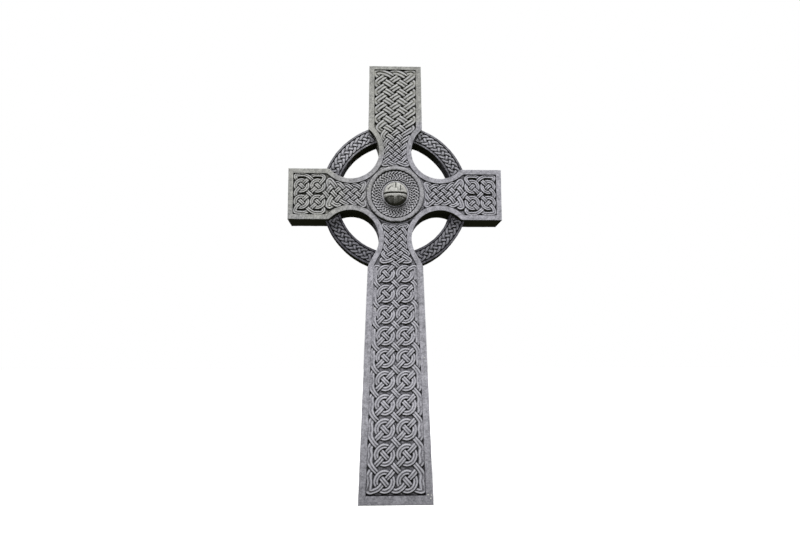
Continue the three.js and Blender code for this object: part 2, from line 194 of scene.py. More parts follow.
def surface_normals(points: Points) -> Points:
    """Unit normals of a grid of points, columns first and rows second.

    Args:
        points: Places by row and column.

    Returns:
        One unit normal for each place.
    """
    along = np.gradient(points, axis=1)
    up = np.gradient(points, axis=0)
    normal = np.cross(along, up)
    length = np.linalg.norm(normal, axis=-1, keepdims=True)
    return normal / np.maximum(length, 1e-12)


def softened(values: np.ndarray, rounds: int = 1) -> np.ndarray:
    """Values of a grid blurred with their neighbours.

    Args:
        values: Values by row and column.
        rounds: How often they are blurred.

    Returns:
        The blurred values.
    """
    for _ in range(rounds):
        for axis in (0, 1):
            padded = np.pad(values, [(1, 1) if k == axis else (0, 0) for k in (0, 1)], mode="edge")
            lower = np.take(padded, range(0, values.shape[axis]), axis=axis)
            upper = np.take(padded, range(2, values.shape[axis] + 2), axis=axis)
            values = 0.5 * values + 0.25 * (lower + upper)
    return values


def cavity(height: np.ndarray, rise: float, rounds: int = 24, wall: int = 10) -> np.ndarray:
    """How narrow and deep each place of a relief is, from 0 to 1, which sets its painted shade.

    Args:
        height: The relief's height by row and column.
        rise: Height of its crests.
        rounds: How far the neighbours that count reach.
        wall: Width of the walls that stand round the relief, in columns.

    Returns:
        One value for each place.
    """
    walled = np.pad(height, wall, constant_values=BORDER_SHARE * rise)
    around = 0.5 * (softened(walled, rounds // 3) + softened(walled, rounds))
    # Painted shade grows where the blurred surroundings stand above the place
    shelter = OPEN_SHADE + SHADE_GAIN * (around - walled) / rise
    return np.clip(shelter, 0, 1)[wall:-wall, wall:-wall]


def smooth_step(values: np.ndarray) -> np.ndarray:
    """Values cut to 0 to 1 and eased at both ends."""
    cut = np.clip(values, 0, 1)
    return cut * cut * (3 - 2 * cut)


# Making meshes


def pick_only(piece: bpy.types.Object) -> None:
    """Selects one object and makes it the active one.

    Args:
        piece: The object to select.
    """
    bpy.ops.object.select_all(action="DESELECT")
    piece.select_set(True)
    bpy.context.view_layer.objects.active = piece


def grid_piece(name: str, points: Points, hollow: np.ndarray) -> bpy.types.Object:
    """A grid whose vertices lie on an array of points.

    Args:
        name: The piece's name.
        points: Places by row and column.
        hollow: How much painted shade each place gets, from 0 to 1; near 0 the finish pales it as wear and
            painted highlight.

    Returns:
        The new object.
    """
    rows, columns = points.shape[:2]
    bpy.ops.object.select_all(action="DESELECT")
    bpy.ops.mesh.primitive_grid_add(x_subdivisions=columns - 1, y_subdivisions=rows - 1, size=1)
    piece = bpy.context.active_object
    piece.name = name
    piece.data.name = name
    piece.data.vertices.foreach_set("co", points.reshape(-1).astype(np.float32))
    for layer in list(piece.data.uv_layers):
        piece.data.uv_layers.remove(layer)
    # The hollow attribute carries each place's painted shade to the finish
    shelter = piece.data.attributes.new("hollow", "FLOAT", "POINT")
    shelter.data.foreach_set("value", hollow.reshape(-1).astype(np.float32))
    piece.data.update()
    return piece


def close_up(piece: bpy.types.Object) -> None:
    """Merges a grid's seams and poles, closes its open ends and turns its faces outwards.

    Args:
        piece: The piece to close.
    """
    pick_only(piece)
    bpy.ops.object.mode_set(mode="EDIT")
    bpy.ops.mesh.select_mode(type="VERT")
    bpy.ops.mesh.select_all(action="SELECT")
    bpy.ops.mesh.remove_doubles(threshold=1e-6)
    bpy.ops.mesh.select_all(action="DESELECT")
    bpy.ops.mesh.select_non_manifold(extend=False)
    bpy.ops.mesh.fill_holes(sides=0)
    bpy.ops.mesh.select_all(action="SELECT")
    bpy.ops.mesh.normals_make_consistent(inside=False)
    bpy.ops.mesh.select_all(action="DESELECT")
    bpy.ops.object.mode_set(mode="OBJECT")


def shade(piece: bpy.types.Object, shading: Shading) -> None:
    """Shades a piece smooth, or smooth with its sharp edges kept.

    Args:
        piece: The piece to shade.
        shading: How its faces are shaded.
    """
    pick_only(piece)
    if shading is Shading.SMOOTH:
        bpy.ops.object.shade_smooth()
    else:
        bpy.ops.object.shade_smooth_by_angle(angle=math.radians(shading.value))


def settle(piece: bpy.types.Object, material: bpy.types.Material) -> bpy.types.Object:
    """Dresses a finished piece and fastens it to the stone's body.

    Args:
        piece: The finished piece.
        material: Its finish.

    Returns:
        The same piece.
    """
    piece.data.materials.clear()
    piece.data.materials.append(material)
    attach(piece, BODY)
    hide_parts(NODE)
    LOG.info("%s: %d faces", piece.name, len(piece.data.polygons))
    return piece


def stone_piece(
    name: str, points: Points, hollow: np.ndarray, shading: Shading, material: bpy.types.Material
) -> bpy.types.Object:
    """A closed piece of the stone from its grid of points, shaded, dressed and fastened.

    Args:
        name: The piece's name.
        points: Places by row and column.
        hollow: How much painted shade each place gets.
        shading: How its faces are shaded.
        material: Its finish.

    Returns:
        The finished piece.
    """
    piece = grid_piece(name, points, hollow)
    close_up(piece)
    shade(piece, shading)
    return settle(piece, material)


def slab_piece(
    name: str, face: Points, hollow: np.ndarray, back: float, material: bpy.types.Material
) -> bpy.types.Object:
    """A relief as a closed slab: its face, side walls and a flat back.

    Args:
        name: The piece's name.
        face: The carved face by row and column.
        hollow: How sheltered each place of the face is.
        back: Depth of the flat back.
        material: Its finish.

    Returns:
        The finished piece.
    """
    rimmed = np.pad(face, ((1, 1), (1, 1), (0, 0)), mode="edge")
    for edge in (rimmed[0], rimmed[-1], rimmed[:, 0], rimmed[:, -1]):
        edge[:, 1] = back
    return stone_piece(name, rimmed, np.pad(hollow, 1, mode="edge"), Shading.RIMMED, material)


# The weave


def spline_point(before: Points, start: Points, end: Points, after: Points, t: float) -> Points:
    """A point on the smooth curve from one place to the next.

    Args:
        before: The place before the first.
        start: The place where the stretch starts.
        end: The place where it ends.
        after: The place after that.
        t: How far along the stretch the point lies, from 0 to 1.

    Returns:
        The point.
    """
    bend = 2 * before - 5 * start + 4 * end - after
    swing = 3 * start - before - 3 * end + after
    return 0.5 * (2 * start + (end - before) * t + bend * t**2 + swing * t**3)


@dataclass(frozen=True)
class Strand:
    """The middle line of one strand with how high it lies and how wide it is."""

    line: Points
    level: np.ndarray
    half: np.ndarray


@dataclass(frozen=True)
class Lattice:
    """A lattice of half steps on which strands cross and turn."""

    columns: int
    steps: int
    site: Callable[[int, int], Site | None]
    same_over: Callable[[int], bool]
    place: Place
    half_width: Callable[[float, float], float]
    wall_offset: tuple[float, float] = (0.5, 0.5)
    edge_offset: tuple[float, float] = (0.42, 0.55)
    around: bool = False
    samples: int = 9
    corner_share: float = 0.8

    def at(self, i: int, j: int) -> Site | None:
        """What lies at a place, going round where the lattice is closed."""
        return self.site(i, j % self.steps if self.around else j)

    def loop(self, i: int, j: int, di: int, dj: int, seen: set) -> list[Stop]:
        """Follows one strand until it comes back.

        Args:
            i: Column of the crossing to start from.
            j: Half step of that crossing.
            di: Way along the columns.
            dj: Way along the steps.
            seen: Passes already taken, which this adds to.

        Returns:
            The strand's places in the lattice, with 1 where it passes over, -1 under, None at a turn.
        """
        nodes: list[Stop] = []
        while True:
            kind = self.at(i, j)
            if kind is None:
                return []
            if kind is Site.CROSS:
                key = (i, j % self.steps if self.around else j, di * dj)
                if key in seen:
                    return nodes
                seen.add(key)
                over = (di * dj > 0) == self.same_over(i)
                nodes.append((i, j, 1.0 if over else -1.0))
            elif kind is Site.UPRIGHT:
                inside = self.at(i + di, j + dj) is not None
                offset = self.wall_offset[0] if inside else self.edge_offset[0]
                nodes.append((i - di * offset, j, None))
                di = -di
            else:
                inside = self.at(i + di, j + dj) is not None
                offset = self.wall_offset[1] if inside else self.edge_offset[1]
                nodes.append((i, j - dj * offset, None))
                dj = -dj
            i += di
            j += dj

    def strands(self) -> list[Strand]:
        """All strands, rounded through their crossings and turns.

        Returns:
            The strands' stretches.
        """
        seen: set = set()
        found = []
        for j in range(self.steps + (0 if self.around else 1)):
            for i in range(self.columns + 1):
                if self.at(i, j) is not Site.CROSS:
                    continue
                for dj in (1, -1):
                    if (i, j, dj) in seen:
                        continue
                    nodes = self.loop(i, j, 1, dj, seen)
                    if len(nodes) > 2:
                        found.extend(self.stretches(nodes))
        return found

    def cornered(self, nodes: list[Stop]) -> list[Stop]:
        """Adds a point to each strand that turns through a corner of the panel.

        Args:
            nodes: The strand's places in the lattice.

        Returns:
            The places with the corners between them.
        """
        full = []
        for k, (u, v, level) in enumerate(nodes):
            full.append((u, v, level))
            after_u, after_v, after_level = nodes[(k + 1) % len(nodes)]
            at_end = min(v, after_v) < 1 or max(v, after_v) > self.steps - 1
            if level is None and after_level is None and at_end:
                corner = (u, after_v) if float(v).is_integer() else (after_u, v)
                middle = (0.5 * (u + after_u), 0.5 * (v + after_v))
                out = [m + self.corner_share * (c - m) for m, c in zip(middle, corner)]
                full.append((*out, None))
        return full

    def stretches(self, nodes: list[Stop]) -> list[Strand]:
        """Cuts one closed strand into the stretches between its passes under others.

        Args:
            nodes: The closed strand's places in the lattice.

        Returns:
            One piece of strand for each pass over another.
        """
        nodes = self.cornered(nodes)
        count = len(nodes)
        spots = np.array([self.place(u, v) for u, v, _ in nodes])
        halves = np.array([self.half_width(u, v) for u, v, _ in nodes])
        levels = np.array([TURN_LEVEL if level is None else level for _, _, level in nodes])
        low = [k for k, (_, _, level) in enumerate(nodes) if level == -1.0]
        steps = np.arange(self.samples) / self.samples
        cut = []
        for n, first in enumerate(low):
            last = low[(n + 1) % len(low)]
            span = (last - first) % count or count
            line, level, half = [], [], []
            for k in range(first, first + span):
                near = [spots[(k + d) % count] for d in (-1, 0, 1, 2)]
                line.extend(spline_point(*near, t) for t in steps)
                ease = smooth_step(steps)
                level.extend(levels[k % count] * (1 - ease) + levels[(k + 1) % count] * ease)
                half.extend(halves[k % count] * (1 - steps) + halves[(k + 1) % count] * steps)
            line.append(spots[last])
            level.append(-1.0)
            half.append(halves[last])
            cut.append(Strand(np.array(line), np.array(level), np.array(half)))
        return cut


@dataclass(frozen=True)
class Carving:
    """How strands are carved: their relief, their section and the joints between them."""

    rise: float = 0.012
    dive: float = 0.0055
    gap: float = 0.0026
    foot: float = 0.4
    channel: float = 0.5
    channel_curve: float = 2.4
    ridge: float = 0.54
    fade_end: float = 1.06
    fade: float = 0.12

    def section(self, q: np.ndarray) -> np.ndarray:
        """Height of a strand's two rounded ridges, from its middle channel to its edge.

        Args:
            q: Distance from the strand's middle, as a share of its half-width.

        Returns:
            One height for each distance.
        """
        inner = np.clip((self.ridge - q) / self.ridge, 0, 1)
        outer = np.clip((q - self.ridge) / (1 - self.ridge), 0, 1)
        low_inside = 1 - self.channel * (1 - np.sqrt(1 - inner**self.channel_curve))
        low_outside = self.foot + (1 - self.foot) * np.sqrt(1 - outer**2)
        return self.rise * np.where(q < self.ridge, low_inside, low_outside)

    def relief(self, places: Points, strands: list[Strand]) -> np.ndarray:
        """Height of the carving above the panel's floor.

        Args:
            places: Sideways and upward place of each point of the panel.
            strands: The stretches of strand in the panel.

        Returns:
            One height for each point.
        """
        flat = places.reshape(-1, 2)
        shelter = np.full(len(flat), math.inf)
        touched = []
        for strand in strands:
            reach = strand.half.max() + self.gap
            low = strand.line.min(axis=0) - reach
            high = strand.line.max(axis=0) + reach
            near = np.flatnonzero(((flat >= low) & (flat <= high)).all(axis=1))
            if not len(near):
                continue
            start, end = strand.line[:-1], strand.line[1:]
            way = end - start
            offset = flat[near][:, None, :] - start[None]
            share = np.clip((offset * way).sum(-1) / np.maximum((way**2).sum(-1), 1e-12), 0, 1)
            distance = np.linalg.norm(offset - share[..., None] * way, axis=-1)
            best = distance.argmin(axis=1)
            rows = np.arange(len(near))
            part = share[rows, best]
            distance = distance[rows, best]
            level = strand.level[best] * (1 - part) + strand.level[best + 1] * part
            half = strand.half[best] * (1 - part) + strand.half[best + 1] * part
            kept = distance < half + self.gap
            near, distance, level, half = near[kept], distance[kept], level[kept], half[kept]
            touched.append((near, distance / half, level))
            upper = level > 0.0
            shelter[near[upper]] = np.minimum(
                shelter[near[upper]], (distance[upper] - half[upper]) / self.gap
            )
        height = np.zeros(len(flat))
        for near, q, level in touched:
            body = self.section(q) - self.dive * 0.5 * (1 - level)
            edge = smooth_step((self.fade_end - q) / self.fade)
            joint = np.where(level > 0.0, 1.0, smooth_step(shelter[near]))
            height[near] = np.maximum(height[near], body * edge * joint)
        return height.reshape(places.shape[:-1])


def waist(distance: float, radius: float, widest: float) -> float:
    """Half-width of a neck between two hollows, blended into an even width.

    Args:
        distance: Distance from the head's centre.
        radius: Radius of the hollows' edge.
        widest: Half-width beyond the neck.

    Returns:
        The half-width.
    """
    off = min(abs(SIZES.hollow_offset - distance), radius)
    narrow = SIZES.hollow_offset - math.sqrt(radius**2 - off**2)
    return (narrow**-8 + widest**-8) ** (-1 / 8)


def plait_half(column: float, step: float, share: float = 0.37) -> float:
    """Half a strand's width where a plait's columns and steps have these sizes."""
    return share * 2 * column * step / math.hypot(column, step)


def plait_site(columns: int, steps: int, around: bool = False) -> Callable[[int, int], Site | None]:
    """The sites of a plain plait, which turns at its edges.

    Args:
        columns: Number of columns.
        steps: Number of half steps.
        around: Whether the plait is closed.

    Returns:
        What lies at each place of the lattice.
    """

    def site(i: int, j: int) -> Site | None:
        """What lies at a place.

        Args:
            i: Its column.
            j: Its half step.

        Returns:
            A crossing, a turn or nothing.
        """
        if (i + j) % 2 == 0 or not 0 <= i <= columns or not (around or 0 <= j <= steps):
            return None
        if not around and j in (0, steps):
            return Site.LEVEL
        return Site.UPRIGHT if i in (0, columns) else Site.CROSS

    return site


def knot_site(neck_steps: int, rows: int) -> Callable[[int, int], Site | None]:
    """The sites of a neck's plait that opens into rows of paired ring knots.

    Args:
        neck_steps: Half steps of the neck's plait.
        rows: Number of rows of ring knots.

    Returns:
        What lies at each place of the lattice.
    """
    steps = neck_steps + 4 * rows

    def site(i: int, j: int) -> Site | None:
        """What lies at a place.

        Args:
            i: Its column.
            j: Its half step.

        Returns:
            A crossing, a turn or nothing.
        """
        if (i + j) % 2 == 0 or not 0 <= i <= KNOT_COLUMNS or not 0 <= j <= steps:
            return None
        if j < neck_steps and not NECK_EDGES[0] <= i <= NECK_EDGES[1]:
            return None
        if j in (0, steps):
            return Site.LEVEL
        if j < neck_steps:
            return Site.UPRIGHT if i in NECK_EDGES else Site.CROSS
        if j == neck_steps:
            return Site.CROSS if 2 * i == KNOT_COLUMNS else Site.LEVEL
        in_row = (j - neck_steps) % 4
        if i in (0, KNOT_COLUMNS) or (in_row == 2 and i % 4 == 1):
            return Site.UPRIGHT
        if in_row == 0 and i % 4 == 3:
            return Site.LEVEL
        return Site.CROSS

    return site


@dataclass(frozen=True)
class UpperPlait:
    """The upper arm's plait, six columns wide."""

    steps: int = 24
    neck_step: float = 0.81
    growth: float = 0.47
    share: float = 0.42

    def column(self, s: float) -> float:
        """Width of a column at a distance above the head's centre."""
        return waist(s, SIZES.panel_radius, SIZES.top_half - SIZES.upper_border) / 3

    def step(self, s: float) -> float:
        """Length of a half step there."""
        narrow = self.column(SIZES.hollow_offset)
        return self.neck_step * narrow + self.growth * (self.column(s) - narrow)

    def lattice(self) -> Lattice:
        """The lattice that the strands follow.

        Returns:
            The lattice.
        """
        top = SIZES.height - SIZES.head - SIZES.top_border
        stops = [top]
        for _ in range(self.steps):
            stops.append(stops[-1] - self.step(stops[-1]))
        scale = (SIZES.disc_edge - top) / (stops[-1] - top)
        fitted = [top + (stop - top) * scale for stop in stops]

        def reach(v: float) -> float:
            """Distance above the head's centre of a half step."""
            return float(np.interp(v, range(self.steps + 1), fitted))

        def place(u: float, v: float) -> tuple[float, float]:
            """Sideways and upward place of a lattice point."""
            return (u - 3) * self.column(reach(v)), SIZES.head + reach(v)

        return Lattice(
            columns=6,
            steps=self.steps,
            site=plait_site(6, self.steps),
            same_over=lambda i: i % 2 == 0,
            place=place,
            half_width=lambda u, v: plait_half(self.column(reach(v)), self.step(reach(v)), self.share),
            edge_offset=(0.3, 0.5),
        )


@dataclass(frozen=True)
class ShaftWeave:
    """The lower neck's plait and the shaft's rows of paired ring knots."""

    neck_steps: int = 12
    neck_end: float = 0.34
    rows: int = 10
    column_top: float = 0.0225
    column_foot: float = 0.0265
    stretch: float = 0.12
    knot_share: float = 0.47
    edge_widening: float = 0.35
    neck_flare: float = 0.084
    swell: float = 0.82
    swell_foot: float = 0.5

    @property
    def top(self) -> float:
        """Height at which the rows of knots start."""
        return SIZES.head - self.neck_end

    def down(self, z: float) -> float:
        """How far down the shaft a height lies, from 0 to 1."""
        return (self.top - z) / (self.top - SIZES.foot_border)

    def column(self, z: float) -> float:
        """Width of a column at a height."""
        return self.column_top + (self.column_foot - self.column_top) * self.down(z)

    def fitted(self) -> list[float]:
        """Heights of the half steps, fitted between the neck and the foot's border.

        Returns:
            The heights, from the top down.
        """
        stops = [self.top]
        for _ in range(4 * self.rows):
            stops.append(stops[-1] - self.column(stops[-1]) * (1 + self.stretch * self.down(stops[-1])))
        scale = (SIZES.foot_border - self.top) / (stops[-1] - self.top)
        return [self.top + (stop - self.top) * scale for stop in stops]

    def swelling(self, places: Points) -> np.ndarray:
        """How high the ground beside the ring knots swells, as a share of the strands' height.

        Args:
            places: Sideways and upward places.

        Returns:
            One share for each place.
        """
        heights = places[..., 1]
        stops = np.array(self.fitted())
        row = np.interp(-heights, -stops, range(len(stops)))
        beyond = np.abs(places[..., 0]) - 4 * self.column(heights)
        middle = smooth_step((1.45 - np.abs(row % 4 - 2)) / 0.4)
        swell = self.swell + (self.swell_foot - self.swell) * self.down(heights)
        return swell * middle * smooth_step(beyond / 0.004) * (heights < self.top)

    def lattice(self) -> Lattice:
        """The lattice that the strands follow.

        Returns:
            The lattice.
        """
        neck_step = (self.neck_end - SIZES.disc_edge) / self.neck_steps
        down, column, fitted = self.down, self.column, self.fitted()
        edge_top = SIZES.shoulder_half - SIZES.shaft_border
        edge_foot = SIZES.foot_half - SIZES.shaft_border_foot

        def drop(v: float) -> float:
            """Height of a half step below the neck."""
            return float(np.interp(v - self.neck_steps, range(4 * self.rows + 1), fitted))

        def neck_column(v: float) -> float:
            """Width of the neck's column there."""
            return waist(SIZES.disc_edge + v * neck_step, SIZES.panel_radius, self.neck_flare) / 3

        def place(u: float, v: float) -> tuple[float, float]:
            """Place of a lattice point.

            Args:
                u: Its column.
                v: Its half step.

            Returns:
                Its sideways and upward place.
            """
            if v < self.neck_steps:
                return (u - 5) * neck_column(v), SIZES.head - SIZES.disc_edge - v * neck_step
            z = drop(v)
            even = min(abs(u - 5), 4)
            rest = abs(u - 5) - even
            edge = edge_top + (edge_foot - edge_top) * down(z)
            return math.copysign(even * column(z) + rest * (edge - 4 * column(z)), u - 5), z

        def half_width(u: float, v: float) -> float:
            """Half the strand's width at a lattice point.

            Args:
                u: Its column.
                v: Its half step.

            Returns:
                The half-width.
            """
            if v < self.neck_steps:
                return plait_half(neck_column(v), neck_step)
            widened = 1 + self.edge_widening * max(1 - min(u, 10 - u), 0)
            return self.knot_share * column(drop(v)) * widened

        return Lattice(
            columns=10,
            steps=self.neck_steps + 4 * self.rows,
            site=knot_site(self.neck_steps, self.rows),
            same_over=lambda i: i % 2 == 1,
            place=place,
            half_width=half_width,
            wall_offset=(0.49, 0.605),
            edge_offset=(0.36, 0.6),
        )


@dataclass(frozen=True)
class ArmWeave:
    """A side arm's neck plait and its two rows of paired ring knots."""

    side: int
    neck_steps: int = 10
    rows: int = 2
    knot_share: float = 0.48
    neck_flare: float = 0.09

    def lattice(self) -> Lattice:
        """The lattice that the strands follow.

        Returns:
            The lattice.
        """
        steps = self.neck_steps + 4 * self.rows
        step = (SIZES.arm_reach - SIZES.arm_border - SIZES.disc_edge) / steps
        knot_column = (SIZES.arm_half - SIZES.arm_border) / 5

        def column(v: float) -> float:
            """Width of a column.

            Args:
                v: The half step.

            Returns:
                The width.
            """
            if v >= self.neck_steps:
                return knot_column
            return waist(SIZES.disc_edge + v * step, SIZES.panel_radius, self.neck_flare) / 3

        def place(u: float, v: float) -> tuple[float, float]:
            """Sideways and upward place of a lattice point."""
            return self.side * (SIZES.disc_edge + v * step), SIZES.head - (u - 5) * column(v)

        def half_width(u: float, v: float) -> float:
            """Half the strand's width at a lattice point.

            Args:
                u: Its column.
                v: Its half step.

            Returns:
                The half-width.
            """
            if v < self.neck_steps:
                return plait_half(column(v), step)
            return self.knot_share * knot_column

        return Lattice(
            columns=10,
            steps=steps,
            site=knot_site(self.neck_steps, self.rows),
            same_over=lambda i: i % 2 == 0,
            place=place,
            half_width=half_width,
            wall_offset=(0.64, 0.5),
            edge_offset=(0.44, 0.48),
        )


def panel_half(s: float, even: float, flare_to: tuple[float, float, float] | None = None) -> float:
    """Half-width of a front panel at a distance from the head's centre.

    Args:
        s: The distance.
        even: The panel's width beyond its neck, or at the shoulder where it flares.
        flare_to: Distance and half-width of a shaft panel's foot, and the flare's slant.

    Returns:
        The half-width.
    """
    radius, offset = SIZES.panel_radius, SIZES.hollow_offset
    off = abs(offset - s)
    arc = offset - math.sqrt(max(radius**2 - off**2, 0))
    if s <= offset:
        return min(arc, s)
    if flare_to is None:
        return min(arc, even) if off < radius else even
    foot, foot_half, slant = flare_to
    turn = offset + radius * math.sin(slant)
    if s <= turn:
        return arc
    turn_half = offset - radius * math.cos(slant)
    flared = turn_half + (s - turn) * math.tan(slant)
    shoulder = turn + (even - turn_half) / math.tan(slant)
    tapered = even + (foot_half - even) * (s - shoulder) / (foot - shoulder)
    return min(flared, tapered)


@dataclass(kw_only=True)
class Panel:
    """The strip that a sunk panel takes up, from under the disc out to its border."""

    name: str
    toward: tuple[int, int]
    half: Callable[[float], float]
    end: float
    spacing: float
    across: int
    tuck: float = 0.002
    start: float = 0.1

    def strip(self, tucked_from: float = 0.0) -> tuple[np.ndarray, np.ndarray, Points]:
        """Spreads the panel's rows and columns, with its edges tucked under the border.

        Args:
            tucked_from: Distance from the head's centre at which the tucks start.

        Returns:
            Distance along and sideways of each place, and its sideways and upward place.
        """
        rows = round((self.end + self.tuck - self.start) / self.spacing)
        reach = np.linspace(self.start, self.end + self.tuck, rows)
        tucks = self.tuck * smooth_step((reach - tucked_from) / 0.01)
        halves = np.array([self.half(min(s, self.end)) for s in reach]) + tucks
        along = np.repeat(reach[:, None], self.across, axis=1)
        sideways = halves[:, None] * np.linspace(-1, 1, self.across)[None]
        x_way, z_way = self.toward
        x, z = (x_way * along, sideways) if x_way else (sideways, z_way * along)
        return along, sideways, np.stack([x, SIZES.head + z], axis=-1)


@dataclass(kw_only=True)
class FrontPanel(Panel):
    """A woven panel of the front."""

    lattice: Lattice
    spacing: float = 0.0015
    across: int = 136
    parts: int = 1
    slab: float = 0.004
    disc_ground: float = 0.55
    ground_reach: float = 0.014
    # Reach and strength of painted shade in the seam next to the disc
    seam: float = 0.005
    seam_shade: float = 0.9
    uneven: float = 1.4
    carving: Carving = field(default_factory=Carving)
    swelling: Callable[[Points], np.ndarray] = lambda places: np.zeros(places.shape[:-1])

    def build(self, material: bpy.types.Material) -> None:
        """Carves the panel, in as many pieces as it has parts.

        Args:
            material: The stone's finish.
        """
        along, sideways, places = self.strip(tucked_from=0.104)
        rise = self.carving.rise
        beyond_disc = np.hypot(along, sideways) - SIZES.disc_radius
        lifted = self.disc_ground * smooth_step(1.3 - beyond_disc / self.ground_reach)
        ground = np.maximum(self.swelling(places), lifted)
        height = self.carving.relief(places, self.lattice.strands())
        height = softened(np.maximum(height, ground * rise))
        # Painted shade in the weave's recesses, and in the seam next to the disc
        hollow = cavity(np.where(beyond_disc < 0, BORDER_SHARE * rise, height), rise)
        seam = smooth_step(1.2 - beyond_disc / self.seam) * self.seam_shade
        hollow = np.maximum(hollow, seam)
        spots = np.stack([places[..., 0], np.full(height.shape, SIZES.floor), places[..., 1]], axis=-1)
        spots[..., 1] -= height - weather(spots) * self.uneven
        cuts = np.linspace(0, len(spots) - 1, self.parts + 1).round().astype(int)
        for part, (first, last) in enumerate(zip(cuts[:-1], cuts[1:])):
            name = self.name if self.parts == 1 else f"{self.name}_{part + 1}"
            face, shelter = spots[first : last + 1], hollow[first : last + 1]
            slab_piece(name, face, shelter, SIZES.floor + self.slab, material)


@dataclass(kw_only=True)
class BackPanel(Panel):
    """A plain sunk panel of the back, dressed with a broad chisel."""

    spacing: float = 0.006
    across: int = 40
    uneven: float = 1.2
    chisel: float = 0.012
    chisel_depth: float = 0.0006

    def build(self, material: bpy.types.Material) -> bpy.types.Object:
        """Cuts the panel.

        Args:
            material: The stone's finish.

        Returns:
            The finished piece.
        """
        _, _, places = self.strip()
        floor = SIZES.back - SIZES.back_sink
        spots = np.stack([places[..., 0], np.full(places.shape[:2], floor), places[..., 1]], axis=-1)
        tooled = value_noise(spots * np.array([0.35, 1.0, 1.6]), self.chisel, 21)
        spots[..., 1] += weather(spots, 9) * self.uneven + self.chisel_depth * tooled
        hollow = np.clip(0.24 + 0.12 * tooled, 0, 1)
        return slab_piece(self.name, spots, hollow, floor - self.tuck, material)


# The block


def line_points(start: tuple[float, float], end: tuple[float, float], count: int) -> Points:
    """Points from one place towards another, without the last."""
    share = np.arange(count)[:, None] / count
    return np.array([start]) * (1 - share) + np.array([end]) * share


def arc_points(centre: tuple[float, float], radius: float, first: float, last: float, count: int) -> Points:
    """Points along an arc, without the last."""
    turn = first + (last - first) * np.arange(count) / count
    return np.stack([centre[0] + radius * np.cos(turn), centre[1] + radius * np.sin(turn)], axis=-1)


@dataclass(frozen=True)
class Outline:
    """The cross seen from the front, without its ring."""

    top: float
    top_half: float
    collar_half: float
    arm_reach: float
    arm_half: float
    hollow: float
    shoulder: float
    foot: float
    foot_z: float

    def points(self) -> Points:
        """The outline's closed line of points, spread evenly along each of its stretches.

        Returns:
            Sideways and upward place of each point.
        """
        centre, head, flare = SIZES.hollow_offset, SIZES.head, SIZES.flare
        collar_turn = math.acos((centre - self.collar_half) / self.hollow)
        arm_turn = math.asin((centre - self.arm_half) / self.hollow)
        flare_x = centre - self.hollow * math.cos(flare)
        flare_z = head - centre - self.hollow * math.sin(flare)
        shoulder_z = flare_z - (self.shoulder - flare_x) / math.tan(flare)
        collar_z = head + centre + self.hollow * math.sin(collar_turn)
        arm_x = centre + self.hollow * math.cos(arm_turn)
        low, high = head - self.arm_half, head + self.arm_half
        right = np.concatenate(
            [
                line_points((0, self.foot_z), (self.foot, self.foot_z), 18),
                line_points((self.foot, self.foot_z), (self.shoulder, shoulder_z), 120),
                line_points((self.shoulder, shoulder_z), (flare_x, flare_z), 6),
                arc_points((centre, head - centre), self.hollow, math.pi + flare, arm_turn, 52),
                line_points((arm_x, low), (self.arm_reach, low), 24),
                line_points((self.arm_reach, low), (self.arm_reach, high), 28),
                line_points((self.arm_reach, high), (arm_x, high), 24),
                arc_points((centre, head + centre), self.hollow, -arm_turn, -math.pi - collar_turn, 58),
                line_points((self.collar_half, collar_z), (self.top_half, self.top), 42),
                line_points((self.top_half, self.top), (0, self.top), 15),
            ]
        )
        left = right[:0:-1] * np.array([-1, 1])
        closed = np.concatenate([right, np.array([[0, self.top]]), left])
        before, after = np.roll(closed, 1, axis=0), np.roll(closed, -1, axis=0)
        way_in, way_out = closed - before, after - closed
        lengths = np.linalg.norm(way_in, axis=1) * np.linalg.norm(way_out, axis=1)
        sharp = (way_in * way_out).sum(axis=1) < 0.6 * lengths
        return np.where(sharp[:, None], closed, 0.25 * before + 0.5 * closed + 0.25 * after)


